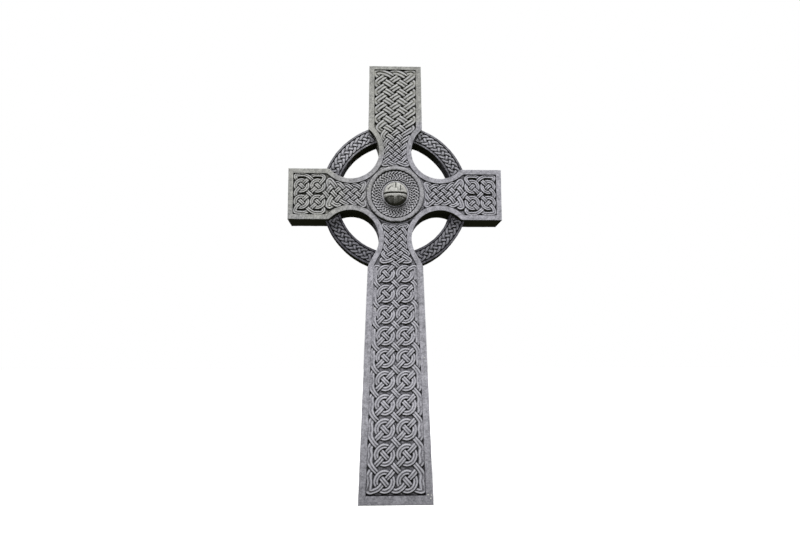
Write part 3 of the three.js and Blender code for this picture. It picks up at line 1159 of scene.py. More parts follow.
@dataclass
class CrossBlock:
    """The block itself: its sides, its borders and the plain back."""

    name: str = "cross_block"
    rounding: float = 0.0028
    inner_rounding: float = 0.0028
    border: float = 0.03
    wall_rows: int = 30
    border_rows: int = 13
    under: float = 0.003
    worn: float = 0.0009
    outer: Outline = Outline(
        top=SIZES.height,
        top_half=SIZES.top_half,
        collar_half=SIZES.collar_half,
        arm_reach=SIZES.arm_reach,
        arm_half=SIZES.arm_half,
        hollow=SIZES.hollow_radius,
        shoulder=SIZES.shoulder_half,
        foot=SIZES.foot_half,
        foot_z=0.0,
    )
    inner: Outline = Outline(
        top=SIZES.height - SIZES.top_border,
        top_half=SIZES.top_half - SIZES.upper_border,
        collar_half=SIZES.top_half - SIZES.upper_border,
        arm_reach=SIZES.arm_reach - SIZES.arm_border,
        arm_half=SIZES.arm_half - SIZES.arm_border,
        hollow=SIZES.panel_radius,
        shoulder=SIZES.shoulder_half - SIZES.shaft_border,
        foot=SIZES.foot_half - SIZES.shaft_border_foot,
        foot_z=SIZES.foot_border,
    )

    def stations(self) -> list[tuple[float, float, float]]:
        """The block's loops from back to front: share towards the panel, depth and painted shade.

        Returns:
            One row of three numbers for each loop.
        """
        front, back = SIZES.front, SIZES.back
        step = self.rounding / self.border
        sunk = back - SIZES.back_sink
        # Painted shade is high down in the recesses and low on the rounded edges, which the finish pales as
        # wear and painted highlight
        loops = [(1.0, sunk - 0.003, 0.7), (1.0, sunk, 0.7), (1.0, back - 0.002, 0.4), (0.96, back, 0.1)]
        loops += [(share, back, 0.2) for share in np.linspace(0.88, step, 7)]
        turns = np.linspace(0, math.pi / 2, 4)[1:-1]
        corner = [(step * (1 - math.sin(t)), self.rounding * (1 - math.cos(t))) for t in turns]
        loops += [(share, back - depth, 0.05) for share, depth in corner]
        walls = np.linspace(back - self.rounding, front + self.rounding, self.wall_rows)
        loops += [(0.0, depth, 0.2) for depth in walls]
        loops += [(share, front + depth, 0.05) for share, depth in reversed(corner)]
        lip = self.inner_rounding / self.border
        loops += [(share, front, 0.11) for share in np.linspace(step, 1 - lip, self.border_rows)]
        inner = [(1 - lip * (1 - math.sin(t)), self.inner_rounding * (1 - math.cos(t))) for t in turns]
        loops += [(share, front + depth, 0.15) for share, depth in inner]
        loops += [(1.0, front + self.inner_rounding, 0.4), (1.0, front + 0.009, 0.8)]
        loops += [(1.0, SIZES.floor, 1.0), (1.0, SIZES.floor + self.under, 1.0)]
        return loops

    def build(self, material: bpy.types.Material) -> bpy.types.Object:
        """Cuts the block.

        Args:
            material: The stone's finish.

        Returns:
            The finished piece.
        """
        outer, inner = self.outer.points(), self.inner.points()
        outer, inner = np.concatenate([outer, outer[:1]]), np.concatenate([inner, inner[:1]])
        share, depth, shelter = np.array(self.stations()).T[:, :, None]
        flat = outer * (1 - share[..., None]) + inner * share[..., None]
        spots = np.stack([flat[..., 0], depth + 0 * flat[..., 0], flat[..., 1]], axis=-1)
        hollow = shelter + 0 * flat[..., 0]
        normal = surface_normals(spots)
        inward = spots[..., 1] * normal[..., 1] < 0
        flip = -1.0 if inward[: len(inward) // 4].mean() > 0.5 else 1.0
        worn = (weather(spots) - self.worn) * flip
        spots = spots + normal * worn[..., None]
        spots[..., 2] = np.maximum(spots[..., 2], 0)
        spots[:, -1] = spots[:, 0]
        return stone_piece(self.name, spots, hollow, Shading.BY_ANGLE, material)


@dataclass
class RingQuarter:
    """One of the ring's four arcs, with its woven band."""

    name: str
    quarter: int
    outer: float = 0.361
    inner: float = 0.282
    thickness: float = 0.104
    fillet: float = 0.010
    edge: float = 0.0035
    sink: float = 0.007
    steps: int = 20
    share: float = 0.31
    around: int = 180
    tucked: float = math.radians(4)
    inner_wall: float = 0.300
    outer_wall: float = 0.340
    plain_hollow: float = 0.2
    uneven: float = 1.5
    worn: float = 0.0009
    carving: Carving = Carving(rise=0.0074, dive=0.0044, gap=0.003, channel=0.3, foot=0.2)

    def half_turn(self) -> float:
        """Half the angle that the arc's woven band spans.

        Returns:
            The angle in radians.
        """
        middle = (self.outer + self.inner) / 2
        centre = SIZES.hollow_offset * math.sqrt(2)
        cosine = (middle**2 + centre**2 - SIZES.hollow_radius**2) / (2 * middle * centre)
        return math.acos(cosine)

    def lattice(self) -> Lattice:
        """The lattice that the strands follow.

        Returns:
            The lattice.
        """
        half = self.half_turn()
        column = (self.outer - self.inner - 2 * self.fillet) / 4
        step = half * (self.outer + self.inner) / self.steps
        start = self.quarter * math.pi / 2 + math.pi / 4 - half

        def place(u: float, v: float) -> tuple[float, float]:
            """Place of a lattice point.

            Args:
                u: Its column.
                v: Its half step.

            Returns:
                Its sideways and upward place.
            """
            radius = self.inner + self.fillet + u * column
            turn = start + 2 * half * v / self.steps
            return radius * math.cos(turn), SIZES.head + radius * math.sin(turn)

        return Lattice(
            columns=4,
            steps=self.steps,
            site=plait_site(4, self.steps),
            same_over=lambda i: i % 2 == 0,
            place=place,
            half_width=lambda u, v: plait_half(column, step, self.share),
            edge_offset=(0.56, 0.5),
        )

    def corner(self, quarter: int) -> list[tuple[float, float, bool]]:
        """One of the section's rounded edges, counted from the outer front edge.

        Args:
            quarter: Which edge, from 0 to 3.

        Returns:
            Radius and depth of each place, and that it isn't woven.
        """
        radius = self.outer - self.edge if quarter in (0, 3) else self.inner + self.edge
        depth = (self.thickness / 2 - self.edge) * (-1 if quarter < 2 else 1)
        turns = -quarter * math.pi / 2 - np.linspace(0, math.pi / 2, 4)
        kept = turns[1:] if quarter % 2 == 0 else turns[:-1]
        return [
            (radius + self.edge * math.cos(turn), depth + self.edge * math.sin(turn), False) for turn in kept
        ]

    def section(self) -> list[tuple[float, float, bool]]:
        """The arc's section, closed.

        Returns:
            Radius and depth of each place, and whether it is on the woven band.
        """
        half, edge = self.thickness / 2, self.edge
        high, low = self.outer - self.fillet, self.inner + self.fillet
        points = [(self.outer, y, False) for y in np.linspace(half - edge, edge - half, 16)]
        points += self.corner(0)
        points += [(r, -half, False) for r in (self.outer - 0.0055, self.outer - 0.0078, high)]
        points += [(r, self.sink - half, True) for r in np.linspace(high - 0.0004, low + 0.0004, 42)]
        points += [(r, -half, False) for r in (low, self.inner + 0.0078, self.inner + 0.0055)]
        points += self.corner(1)
        points += [(self.inner, y, False) for y in np.linspace(edge - half, half - edge, 16)]
        points += self.corner(2)
        points += [(r, half, False) for r in np.linspace(self.inner + 0.008, self.outer - 0.008, 12)]
        points += self.corner(3)
        return points + points[:1]

    def build(self, material: bpy.types.Material) -> bpy.types.Object:
        """Carves the arc.

        Args:
            material: The stone's finish.

        Returns:
            The finished piece.
        """
        radius, depth, band = np.array(self.section()).T[:, :, None]
        woven = band[:, 0] > 0
        reach = self.half_turn() + self.tucked
        turn = self.quarter * math.pi / 2 + math.pi / 4 + np.linspace(-reach, reach, self.around)[None]
        flat = np.stack([radius * np.cos(turn), SIZES.head + radius * np.sin(turn)], axis=-1)
        height = np.zeros(flat.shape[:2])
        height[woven] = softened(self.carving.relief(flat[woven], self.lattice().strands()))
        # Painted shade: a little on the plain faces, more in the recesses of the weave
        hollow = np.full(height.shape, self.plain_hollow)
        hollow[woven] = cavity(height[woven], self.carving.rise, 14)
        spots = np.stack([flat[..., 0], depth - height, flat[..., 1]], axis=-1)
        outwards = np.stack([np.cos(turn), 0 * turn, np.sin(turn)], axis=-1)
        beside = np.abs(depth) < self.thickness / 2
        inner_side = (radius < self.inner_wall) & beside
        outer_side = (radius > self.outer_wall) & beside
        worn = weather(spots) * self.uneven - self.worn
        spots += outwards * (worn * (1.0 * outer_side - 1.0 * inner_side))[..., None]
        spots[..., 1] += worn * np.sign(depth) * (~(inner_side | outer_side) | woven[:, None])
        spots[-1] = spots[0]
        return stone_piece(self.name, spots, hollow, Shading.BY_ANGLE, material)


def turned(profile: list[tuple[float, float]], around: int, side: int = -1) -> Points:
    """Places of a round piece about the head's own axis.

    Args:
        profile: Radius and depth of each place of the section.
        around: Number of turns' steps.
        side: -1 on the front, 1 on the back.

    Returns:
        The places by profile point and turn, the last turn on the first.
    """
    radius = np.array([r for r, _ in profile])[:, None]
    depth = np.array([y for _, y in profile])[:, None]
    turn = np.linspace(0, 2 * math.pi, around + 1)[None]
    across, up = radius * np.cos(turn), SIZES.head + radius * np.sin(turn)
    return np.stack([across, side * depth + 0 * turn, up], axis=-1)


def closed_turn(spots: Points, poles: bool = False) -> Points:
    """Lays a turned piece's last turn on its first, and each pole on one point.

    Args:
        spots: Places by profile point and turn.
        poles: Whether both ends of the profile are poles.

    Returns:
        The same places, closed.
    """
    spots[:, -1] = spots[:, 0]
    if poles:
        spots[0], spots[-1] = spots[0, 0], spots[-1, 0]
    return spots


def dome(radius: float, foot: float, rise: float, rings: int) -> list[tuple[float, float]]:
    """Radius and depth of a dome's section, from its foot to its pole.

    Args:
        radius: Radius at the foot.
        foot: Depth of the foot.
        rise: Height of the pole above the foot.
        rings: Number of places.

    Returns:
        Radius and depth of each place.
    """
    turns = np.linspace(0, math.pi / 2, rings)
    points = [(radius * math.cos(t), foot + rise * math.sin(t)) for t in turns[:-1]]
    return points + [(0.0, foot + rise)]


@dataclass
class Disc:
    """The disc at the crossing: a raised round rim and a woven dish."""

    name: str = "centre_disc"
    crown: float = 0.100
    dish: float = 0.086
    dish_lift: float = 0.004
    rim: float = 0.0215
    rim_roundness: float = 0.45
    boss: float = 0.0615
    collar: tuple[tuple[float, float], ...] = (
        (-0.0045, 0.003),
        (-0.0025, 0.0062),
        (-0.0005, 0.0074),
        (0.0016, 0.0066),
        (0.0034, 0.0035),
    )
    weave_start: float = 0.0038
    steps: int = 80
    columns: int = 4
    around: int = 500
    uneven: float = 1.3
    worn: float = 0.0006
    rim_hollow: float = 0.42
    woven_hollow: float = 0.14
    carving: Carving = Carving(rise=0.0062, dive=0.003, gap=0.0018, channel=0.0, foot=0.3, ridge=0.1)

    @property
    def inner(self) -> float:
        """Radius of the rim's inner edge."""
        return SIZES.disc_radius - self.rim

    def profile(self) -> list[tuple[float, float]]:
        """Radius and forward depth from under the boss out over the rim, and back inside.

        Returns:
            Radius and depth of each place.
        """
        outer, inner = SIZES.disc_radius, self.inner
        low = SIZES.thickness / 2 - SIZES.panel_sink - 0.003
        points = [(self.boss + self.collar[0][0], low)]
        points += [(self.boss + out, self.dish + up) for out, up in self.collar]
        dish = np.linspace(self.boss + 0.004, inner - 0.0005, 45)
        lift = self.dish_lift * ((dish - dish[0]) / (dish[-1] - dish[0])) ** 2
        points += [(r, self.dish + up) for r, up in zip(dish, lift)]
        width = (outer - inner) / 2
        for t in np.linspace(0, math.pi, 17):
            bulge = math.sin(t) ** self.rim_roundness
            rise = self.crown - self.dish - self.dish_lift if t < math.pi / 2 else 0.014
            points.append((outer - width - width * math.cos(t), self.crown - rise * (1 - bulge)))
        points += [(outer, y) for y in np.linspace(self.crown - 0.0155, low, 6)]
        points += [(r, low) for r in (outer - 0.02, self.boss + 0.02)]
        return points + points[:1]

    def lattice(self) -> Lattice:
        """The lattice of the dish's fine plait, closed all round.

        Returns:
            The lattice.
        """
        low, high = self.boss + 0.005, self.inner - 0.001
        column = (high - low) / self.columns
        step = math.pi * (low + high) / self.steps

        def place(u: float, v: float) -> tuple[float, float]:
            """Sideways and upward place of a lattice point."""
            radius, turn = low + u * column, 2 * math.pi * v / self.steps
            return radius * math.cos(turn), SIZES.head + radius * math.sin(turn)

        return Lattice(
            columns=self.columns,
            steps=self.steps,
            site=plait_site(self.columns, self.steps, around=True),
            same_over=lambda i: i % 2 == 0,
            place=place,
            half_width=lambda u, v: plait_half(column, step * (0.7 + 0.15 * u), 0.31),
            around=True,
            samples=5,
        )

    def shelter(
        self, radius: np.ndarray, depth: np.ndarray, up: np.ndarray, height: np.ndarray
    ) -> np.ndarray:
        """Painted shade of the disc: dark outer walls, dark gaps between strands by the rim, a collar, and a
        painted shadow under the boss.

        Args:
            radius: Radius of each row.
            depth: Forward depth of each row.
            up: Height of each place above the head's centre.
            height: Height of the weave at each place.

        Returns:
            One value for each place.
        """
        share = height / self.carving.rise
        woven = (radius > self.boss + self.weave_start) & (radius < self.inner)
        below = -up / self.boss
        hollow = np.full(height.shape, self.rim_hollow)
        hollow[woven] = np.maximum(smooth_step(1.15 - 1.9 * share[woven]), self.woven_hollow)
        # The collar pales as wear and painted highlight, with painted shade on its lower part below the boss
        collar = radius < self.boss + self.weave_start
        hollow[collar] = 0.13 + 0.42 * smooth_step((below[collar] - 0.4) / 0.5)
        # Painted shade on the outer wall and in the seam round the rim
        hollow[depth < 0.0845] = 1.0
        wall = (radius > SIZES.disc_radius - 0.0004) & (depth < 0.093)
        hollow[wall] = np.clip((0.0935 - depth[wall]) / 0.013, 0.35, 1.0)[:, None]
        # Painted shadow of the boss on the dish below it
        near_boss = 1 - smooth_step((radius - self.boss) / 0.034)[:, None]
        stain = 0.34 * smooth_step((below - 0.15) / 0.9) * near_boss
        hollow[woven] = np.clip((hollow + stain)[woven], 0, 1)
        beside = (radius > self.boss + 0.0016) & (radius < self.boss + 0.0068)
        hollow[beside] = np.minimum(hollow[beside], 0.5)
        # Painted shade in the gaps between the strands next to the rim
        rim_gap_shade = smooth_step((radius - (self.inner - 0.007)) / 0.004)[:, None] * (1.4 - 1.9 * share)
        hollow[woven] = np.clip(np.maximum(hollow, rim_gap_shade)[woven], 0, 1)
        return hollow

    def build(self, material: bpy.types.Material) -> bpy.types.Object:
        """Turns the disc and weaves its dish.

        Args:
            material: The stone's finish.

        Returns:
            The finished piece.
        """
        profile = self.profile()
        spots = turned(profile, self.around)
        radius, depth = np.array(profile).T
        woven = (radius > self.boss + self.weave_start) & (radius < self.inner)
        height = np.zeros(spots.shape[:2])
        height[woven] = self.carving.relief(spots[woven][..., [0, 2]], self.lattice().strands())
        hollow = self.shelter(radius, depth, spots[..., 2] - SIZES.head, height)
        spots[..., 1] -= height - weather(spots) * self.uneven - self.worn
        return stone_piece(self.name, closed_turn(spots), hollow, Shading.SMOOTH, material)


@dataclass
class Boss:
    """The domed boss with its level groove, its plain band and two sunk quarters."""

    name: str = "centre_boss"
    radius: float = 0.0585
    foot: float = 0.086
    collar: float = 0.004
    rise: float = 0.058
    groove_half: float = 0.0032
    groove_depth: float = 0.008
    groove_lift: float = -0.005
    groove_bow: float = -0.003
    # Place and half-width of a pale line below the groove: painted highlight
    lip: float = 0.0062
    lip_half: float = 0.0026
    band: float = 0.020
    arch: float = 0.004
    arch_middle: float = 0.024
    arch_half: float = 0.022
    rib_half: float = 0.007
    quarter_depth: float = 0.0046
    quarter_edge: float = 0.0563
    border_half: float = 0.0027
    mark_depth: float = 0.003
    strokes: tuple[tuple[float, ...], ...] = (
        (0.0005, 0.022, 0.001, 0.054, 0.0026),
        (0.0245, 0.008, 0.025, 0.036, 0.0023),
        (-0.036, 0.015, -0.027, 0.027, 0.0024),
        (-0.027, 0.027, -0.020, 0.031, 0.0019),
        (-0.015, 0.026, -0.012, 0.036, 0.0011),
        (0.010, 0.012, 0.0105, 0.024, 0.0009),
        (0.036, 0.010, 0.034, 0.020, 0.0010),
    )
    uneven: float = 1.2
    worn: float = 0.0008
    rings: int = 84
    around: int = 330

    def profile(self) -> list[tuple[float, float]]:
        """Radius and forward depth from the foot's inside out and up to the crown.

        Returns:
            Radius and depth of each place.
        """
        points = [(0.0, self.foot - 0.004), (self.radius - 0.02, self.foot - 0.004)]
        points += [(self.radius - 0.0005, self.foot - 0.003), (self.radius, self.foot + 0.001)]
        return points + dome(self.radius, self.foot + self.collar, self.rise, self.rings)

    def marks(self, across: np.ndarray, up: np.ndarray) -> np.ndarray:
        """How strongly the boss is scratched at each place.

        Args:
            across: Sideways distance from the boss's middle.
            up: Height above it.

        Returns:
            One value from 0 to 1 for each place.
        """
        scratched = np.zeros_like(across)
        for x0, z0, x1, z1, half in self.strokes:
            way = np.array([x1 - x0, z1 - z0])
            share = np.clip(((across - x0) * way[0] + (up - z0) * way[1]) / (way**2).sum(), 0, 1)
            gone = np.hypot(across - x0 - share * way[0], up - z0 - share * way[1])
            scratched = np.maximum(scratched, np.exp(-((gone / half) ** 2)))
        return scratched

    def cuts(self, across: np.ndarray, up: np.ndarray) -> tuple[np.ndarray, np.ndarray]:
        """How deep the carving is at each place, and how much painted shade it gets.

        Args:
            across: Sideways distance from the boss's middle.
            up: Height above it.

        Returns:
            Depth of the cut, and painted shade from 0 to 1.
        """
        out, side = np.hypot(across, up), np.abs(across)
        line = up - self.groove_lift + self.groove_bow * (across / self.radius) ** 2
        groove = np.exp(-((line / self.groove_half) ** 2))
        # Pale line below the groove, a painted highlight
        lip = np.exp(-(((line + self.lip) / self.lip_half) ** 2)) * (out < 0.053)
        bow = 1 - ((side - self.arch_middle) / self.arch_half) ** 2
        top = self.groove_lift - self.band + self.arch * bow
        edge = smooth_step((self.quarter_edge - out) / 0.004)
        inside = smooth_step((top - up) / 0.0022 + 0.5) * smooth_step((side - self.rib_half) / 0.002 + 0.5)
        quarter = inside * edge
        border = np.exp(-(((top - up - 0.001) / self.border_half) ** 2)) * edge * (side > self.rib_half)
        # Painted shadow along the boss's lower edge
        crescent_shadow = np.exp(-(((out - 0.0565) / 0.0055) ** 2)) * smooth_step((-up - 0.012) / 0.016)
        marks = self.marks(across, up)
        # Painted shade in the groove, the quarters, their borders and the scratches
        cut_shade = np.maximum(np.maximum(groove, quarter * 0.2), np.maximum(border, crescent_shadow))
        depth = np.maximum(groove * self.groove_depth, quarter * self.quarter_depth) + marks * self.mark_depth
        return depth, np.clip(0.1 + 0.9 * cut_shade + marks - 0.1 * lip, 0, 1)

    def build(self, material: bpy.types.Material) -> bpy.types.Object:
        """Turns the boss and cuts its face.

        Args:
            material: The boss's finish.

        Returns:
            The finished piece.
        """
        spots = turned(self.profile(), self.around)
        domed = -spots[..., 1] > self.foot + self.collar - 1e-4
        depth, hollow = self.cuts(spots[..., 0], spots[..., 2] - SIZES.head)
        outwards = spots - np.array([0, -self.foot - self.collar, SIZES.head])
        outwards /= np.maximum(np.linalg.norm(outwards, axis=-1, keepdims=True), 1e-9)
        worn = (weather(spots) * self.uneven - self.worn - depth) * domed
        spots = closed_turn(spots + outwards * worn[..., None], poles=True)
        return stone_piece(self.name, spots, hollow * domed, Shading.SMOOTH, material)


@dataclass
class BackDisc:
    """The plainer disc and low dome on the back."""

    name: str = "back_disc"
    crown: float = 0.100
    dish: float = 0.086
    rim: float = 0.022
    boss: float = 0.062
    boss_foot: float = 0.090
    boss_rise: float = 0.026
    around: int = 220
    uneven: float = 1.5
    worn: float = 0.0009

    def profile(self) -> list[tuple[float, float]]:
        """Radius and depth from the middle of the hidden face out over the rim and in to the pole.

        Returns:
            Radius and depth of each place.
        """
        outer, inner = SIZES.disc_radius, SIZES.disc_radius - self.rim
        low = SIZES.thickness / 2 - SIZES.back_sink - 0.003
        points = [(0.0, low), (outer * 0.5, low), (outer, low)]
        points += [(outer, y) for y in np.linspace(low + 0.002, self.crown - 0.003, 6)]
        points += [(outer - 0.001, self.crown - 0.0012), (outer - 0.0025, self.crown)]
        points += [(r, self.crown) for r in np.linspace(outer - 0.005, inner + 0.003, 7)]
        points += [(inner + 0.001, self.crown - 0.001), (inner, self.crown - 0.003)]
        points += [(inner, self.dish + 0.001)]
        points += [(r, self.dish) for r in np.linspace(inner - 0.001, self.boss + 0.001, 16)]
        return points + dome(self.boss, self.boss_foot, self.boss_rise, 26)

    def build(self, material: bpy.types.Material) -> bpy.types.Object:
        """Turns the disc.

        Args:
            material: The stone's finish.

        Returns:
            The finished piece.
        """
        spots = turned(self.profile(), self.around, side=1)
        spots[1:-1, :, 1] += (weather(spots) * self.uneven - self.worn)[1:-1]
        spots = closed_turn(spots, poles=True)
        # Painted shade in the sunk dish
        hollow = np.where(spots[..., 1] < self.dish + 0.003, 0.5, 0.15)
        return stone_piece(self.name, spots, hollow, Shading.BY_ANGLE, material)


# Finishes

Socket = bpy.types.NodeSocket
Outputs = bpy.types.bpy_prop_collection


class Nodes:
    """A node tree with short ways to add and join its nodes."""

    def __init__(self, tree: bpy.types.NodeTree) -> None:
        """Keeps the tree that the nodes go into."""
        self.tree = tree

    def add(self, kind: str, **settings: object) -> bpy.types.Node:
        """A new node with the settings given.

        Args:
            kind: The node's kind.
            settings: Its settings by name.

        Returns:
            The node.
        """
        node = self.tree.nodes.new(kind)
        for name, value in settings.items():
            setattr(node, name, value)
        return node

    def join(self, source: Socket | float | tuple, target: Socket) -> None:
        """Feeds a socket from another, or sets its own value.

        Args:
            source: A socket, or the value itself.
            target: The socket to feed.
        """
        if isinstance(source, bpy.types.NodeSocket):
            self.tree.links.new(source, target)
        else:
            target.default_value = source

    def math(self, operation: str, first: Socket | float, second: Socket | float = 0.0) -> Socket:
        """A sum, product or other operation on two numbers.

        Args:
            operation: The operation.
            first: The first number.
            second: The second.

        Returns:
            The result.
        """
        node = self.add("ShaderNodeMath", operation=operation)
        self.join(first, node.inputs[0])
        self.join(second, node.inputs[1])
        return node.outputs[0]

    def blend(self, share: Socket | float, first: Socket | tuple, second: Socket | tuple) -> Socket:
        """A colour between two others.

        Args:
            share: Share of the second colour.
            first: One colour.
            second: The other.

        Returns:
            The colour between them.
        """
        node = self.add("ShaderNodeMix", data_type="RGBA")
        self.join(share, node.inputs[0])
        self.join(first, node.inputs[6])
        self.join(second, node.inputs[7])
        return node.outputs[2]

    def noise(self, place: Socket, scale: float, detail: float = 3.0, rough: float = 0.55) -> Socket:
        """Soft noise from 0 to 1.

        Args:
            place: Where the noise is read.
            scale: How small its patches are.
            detail: How many finer layers it has.
            rough: How strong those are.

        Returns:
            The noise.
        """
        node = self.add("ShaderNodeTexNoise", noise_dimensions="3D")
        self.join(place, node.inputs["Vector"])
        node.inputs["Scale"].default_value = scale
        node.inputs["Detail"].default_value = detail
        node.inputs["Roughness"].default_value = rough
        return node.outputs["Fac"]

    def cells(self, place: Socket, scale: float) -> Socket:
        """Distance from the middle of each cell of a pattern of cells.

        Args:
            place: Where the pattern is read.
            scale: How small its cells are.

        Returns:
            The distance.
        """
        node = self.add("ShaderNodeTexVoronoi", feature="F1")
        self.join(place, node.inputs["Vector"])
        node.inputs["Scale"].default_value = scale
        return node.outputs["Distance"]

    def split(self, place: Socket) -> tuple[Socket, Socket, Socket]:
        """The three parts of a place or direction.

        Args:
            place: The place or direction.

        Returns:
            Its sideways, forward and upward part.
        """
        node = self.add("ShaderNodeSeparateXYZ")
        self.join(place, node.inputs[0])
        return tuple(node.outputs)

    def group(self, tree: bpy.types.NodeTree, given: dict[str, Socket | float | tuple]) -> Outputs:
        """A shared group with its inputs fed by name, and its outputs.

        Args:
            tree: The shared group.
            given: What feeds its inputs, by name.

        Returns:
            The group's outputs.
        """
        node = self.add("ShaderNodeGroup", node_tree=tree)
        for name, source in given.items():
            self.join(source, node.inputs[name])
        return node.outputs

    def stretch(self, place: Socket, scale: tuple[float, float, float]) -> Socket:
        """A place scaled by its own amount each way.

        Args:
            place: The place.
            scale: The amounts.

        Returns:
            The scaled place.
        """
        node = self.add("ShaderNodeMapping", vector_type="POINT")
        self.join(place, node.inputs["Vector"])
        node.inputs["Scale"].default_value = scale
        return node.outputs["Vector"]

    def ramp(self, value: Socket, low: float, high: float) -> Socket:
        """A value eased from 0 to 1 between two limits.

        Args:
            value: The value.
            low: Where the result is 0.
            high: Where the result is 1.

        Returns:
            The eased value.
        """
        node = self.add("ShaderNodeMapRange", interpolation_type="SMOOTHSTEP")
        self.join(value, node.inputs["Value"])
        node.inputs["From Min"].default_value = low
        node.inputs["From Max"].default_value = high
        return node.outputs["Result"]


def shader_group(
    name: str, inputs: dict[str, str], outputs: dict[str, str]
) -> tuple[bpy.types.NodeTree, Nodes]:
    """An empty shader node group with its sockets.

    Args:
        name: The group's name.
        inputs: Names and kinds of the sockets that go in.
        outputs: Names and kinds of the sockets that come out.

    Returns:
        The group, and the maker of its nodes.
    """
    tree = bpy.data.node_groups.new(name, "ShaderNodeTree")
    for label, kind in inputs.items():
        tree.interface.new_socket(name=label, in_out="INPUT", socket_type=kind)
    for label, kind in outputs.items():
        tree.interface.new_socket(name=label, in_out="OUTPUT", socket_type=kind)
    return tree, Nodes(tree)


VECTOR = "NodeSocketVector"
FLOAT = "NodeSocketFloat"
COLOUR = "NodeSocketColor"


def mottle_group() -> bpy.types.NodeTree:
    """Patches, streaks and specks of old weathered stone.

    Returns:
        The shared group.
    """
    tree, nodes = shader_group(
        "stone_mottle",
        {"Place": VECTOR},
        {"Broad": FLOAT, "Patch": FLOAT, "Streak": FLOAT, "Grain": FLOAT, "Speck": FLOAT},
    )
    place = nodes.add("NodeGroupInput").outputs["Place"]
    out = nodes.add("NodeGroupOutput")
    nodes.join(nodes.ramp(nodes.noise(place, 4.5, 2.0), 0.36, 0.64), out.inputs["Broad"])
    nodes.join(nodes.ramp(nodes.noise(place, 42.0, 6.0, 0.74), 0.41, 0.6), out.inputs["Patch"])
    down = nodes.stretch(place, (34.0, 34.0, 2.6))
    nodes.join(nodes.ramp(nodes.noise(down, 1.0, 4.0, 0.6), 0.42, 0.72), out.inputs["Streak"])
    nodes.join(nodes.ramp(nodes.noise(place, 110.0, 5.0, 0.85), 0.43, 0.57), out.inputs["Grain"])
    spot = nodes.ramp(nodes.cells(place, 62.0), 0.21, 0.12)
    chosen = nodes.ramp(nodes.noise(place, 9.0, 3.0), 0.6, 0.68)
    nodes.join(nodes.math("MULTIPLY", spot, chosen), out.inputs["Speck"])
    return tree


def grain_group() -> bpy.types.NodeTree:
    """Height of the stone's rough grain and pits.

    Returns:
        The shared group.
    """
    tree, nodes = shader_group("stone_grain", {"Place": VECTOR}, {"Height": FLOAT})
    place = nodes.add("NodeGroupInput").outputs["Place"]
    out = nodes.add("NodeGroupOutput")
    coarse = nodes.noise(place, 90.0, 5.0, 0.75)
    fine = nodes.noise(place, 420.0, 3.0, 0.65)
    pit = nodes.ramp(nodes.cells(place, 190.0), 0.0, 0.34)
    rough = nodes.math("ADD", nodes.math("MULTIPLY", coarse, 0.9), nodes.math("MULTIPLY", fine, 0.34))
    nodes.join(nodes.math("ADD", rough, nodes.math("MULTIPLY", pit, 0.14)), out.inputs["Height"])
    return tree


def shade_and_wear_group() -> bpy.types.NodeTree:
    """Stone's colour with painted shade in its recesses and on its undersides, and crests paled by wear and
    painted highlight.

    Returns:
        The shared group.
    """
    tree, nodes = shader_group(
        "stone_stain",
        {
            "Base": COLOUR,
            "Worn": COLOUR,
            "Dirt": COLOUR,
            "Damp": COLOUR,
            "Hollow": FLOAT,
            "Facing": FLOAT,
            "Patch": FLOAT,
            "Recess shade amount": FLOAT,
            "Underside shade amount": FLOAT,
            "Wear and highlight amount": FLOAT,
        },
        {"Colour": COLOUR, "Shaded": FLOAT},
    )
    given = nodes.add("NodeGroupInput").outputs
    out = nodes.add("NodeGroupOutput")
    uneven = nodes.math("MULTIPLY", nodes.math("SUBTRACT", given["Patch"], 0.5), 0.3)
    # Painted shade in recesses, where the hollow attribute is high
    shelter = nodes.ramp(nodes.math("ADD", given["Hollow"], uneven), 0.28, 0.86)
    dirt = nodes.math("MULTIPLY", shelter, given["Recess shade amount"])
    # Painted shade on faces that look downwards
    under = nodes.math("ADD", nodes.math("MULTIPLY", given["Facing"], -1.0), uneven)
    damp = nodes.math("MULTIPLY", nodes.ramp(under, 0.1, 0.7), given["Underside shade amount"])
    # Crests pale from wear and painted highlight where the hollow attribute is near 0
    crest_wear_and_highlight = nodes.math("MULTIPLY", nodes.ramp(given["Hollow"], 0.17, 0.0), given["Wear and highlight amount"])
    worn = nodes.blend(crest_wear_and_highlight, given["Base"], given["Worn"])
    recess_shaded = nodes.blend(dirt, worn, given["Dirt"])
    nodes.join(nodes.blend(damp, recess_shaded, given["Damp"]), out.inputs["Colour"])
    # Where painted shade lies, in recesses or on undersides
    nodes.join(nodes.math("MAXIMUM", dirt, damp), out.inputs["Shaded"])
    return tree


Tint = tuple[float, float, float]


def toned(colour: Tint, share: float = 1.0) -> tuple[float, ...]:
    """A colour made darker by a share, as a socket takes it."""
    return (*[share * part for part in colour], 1)


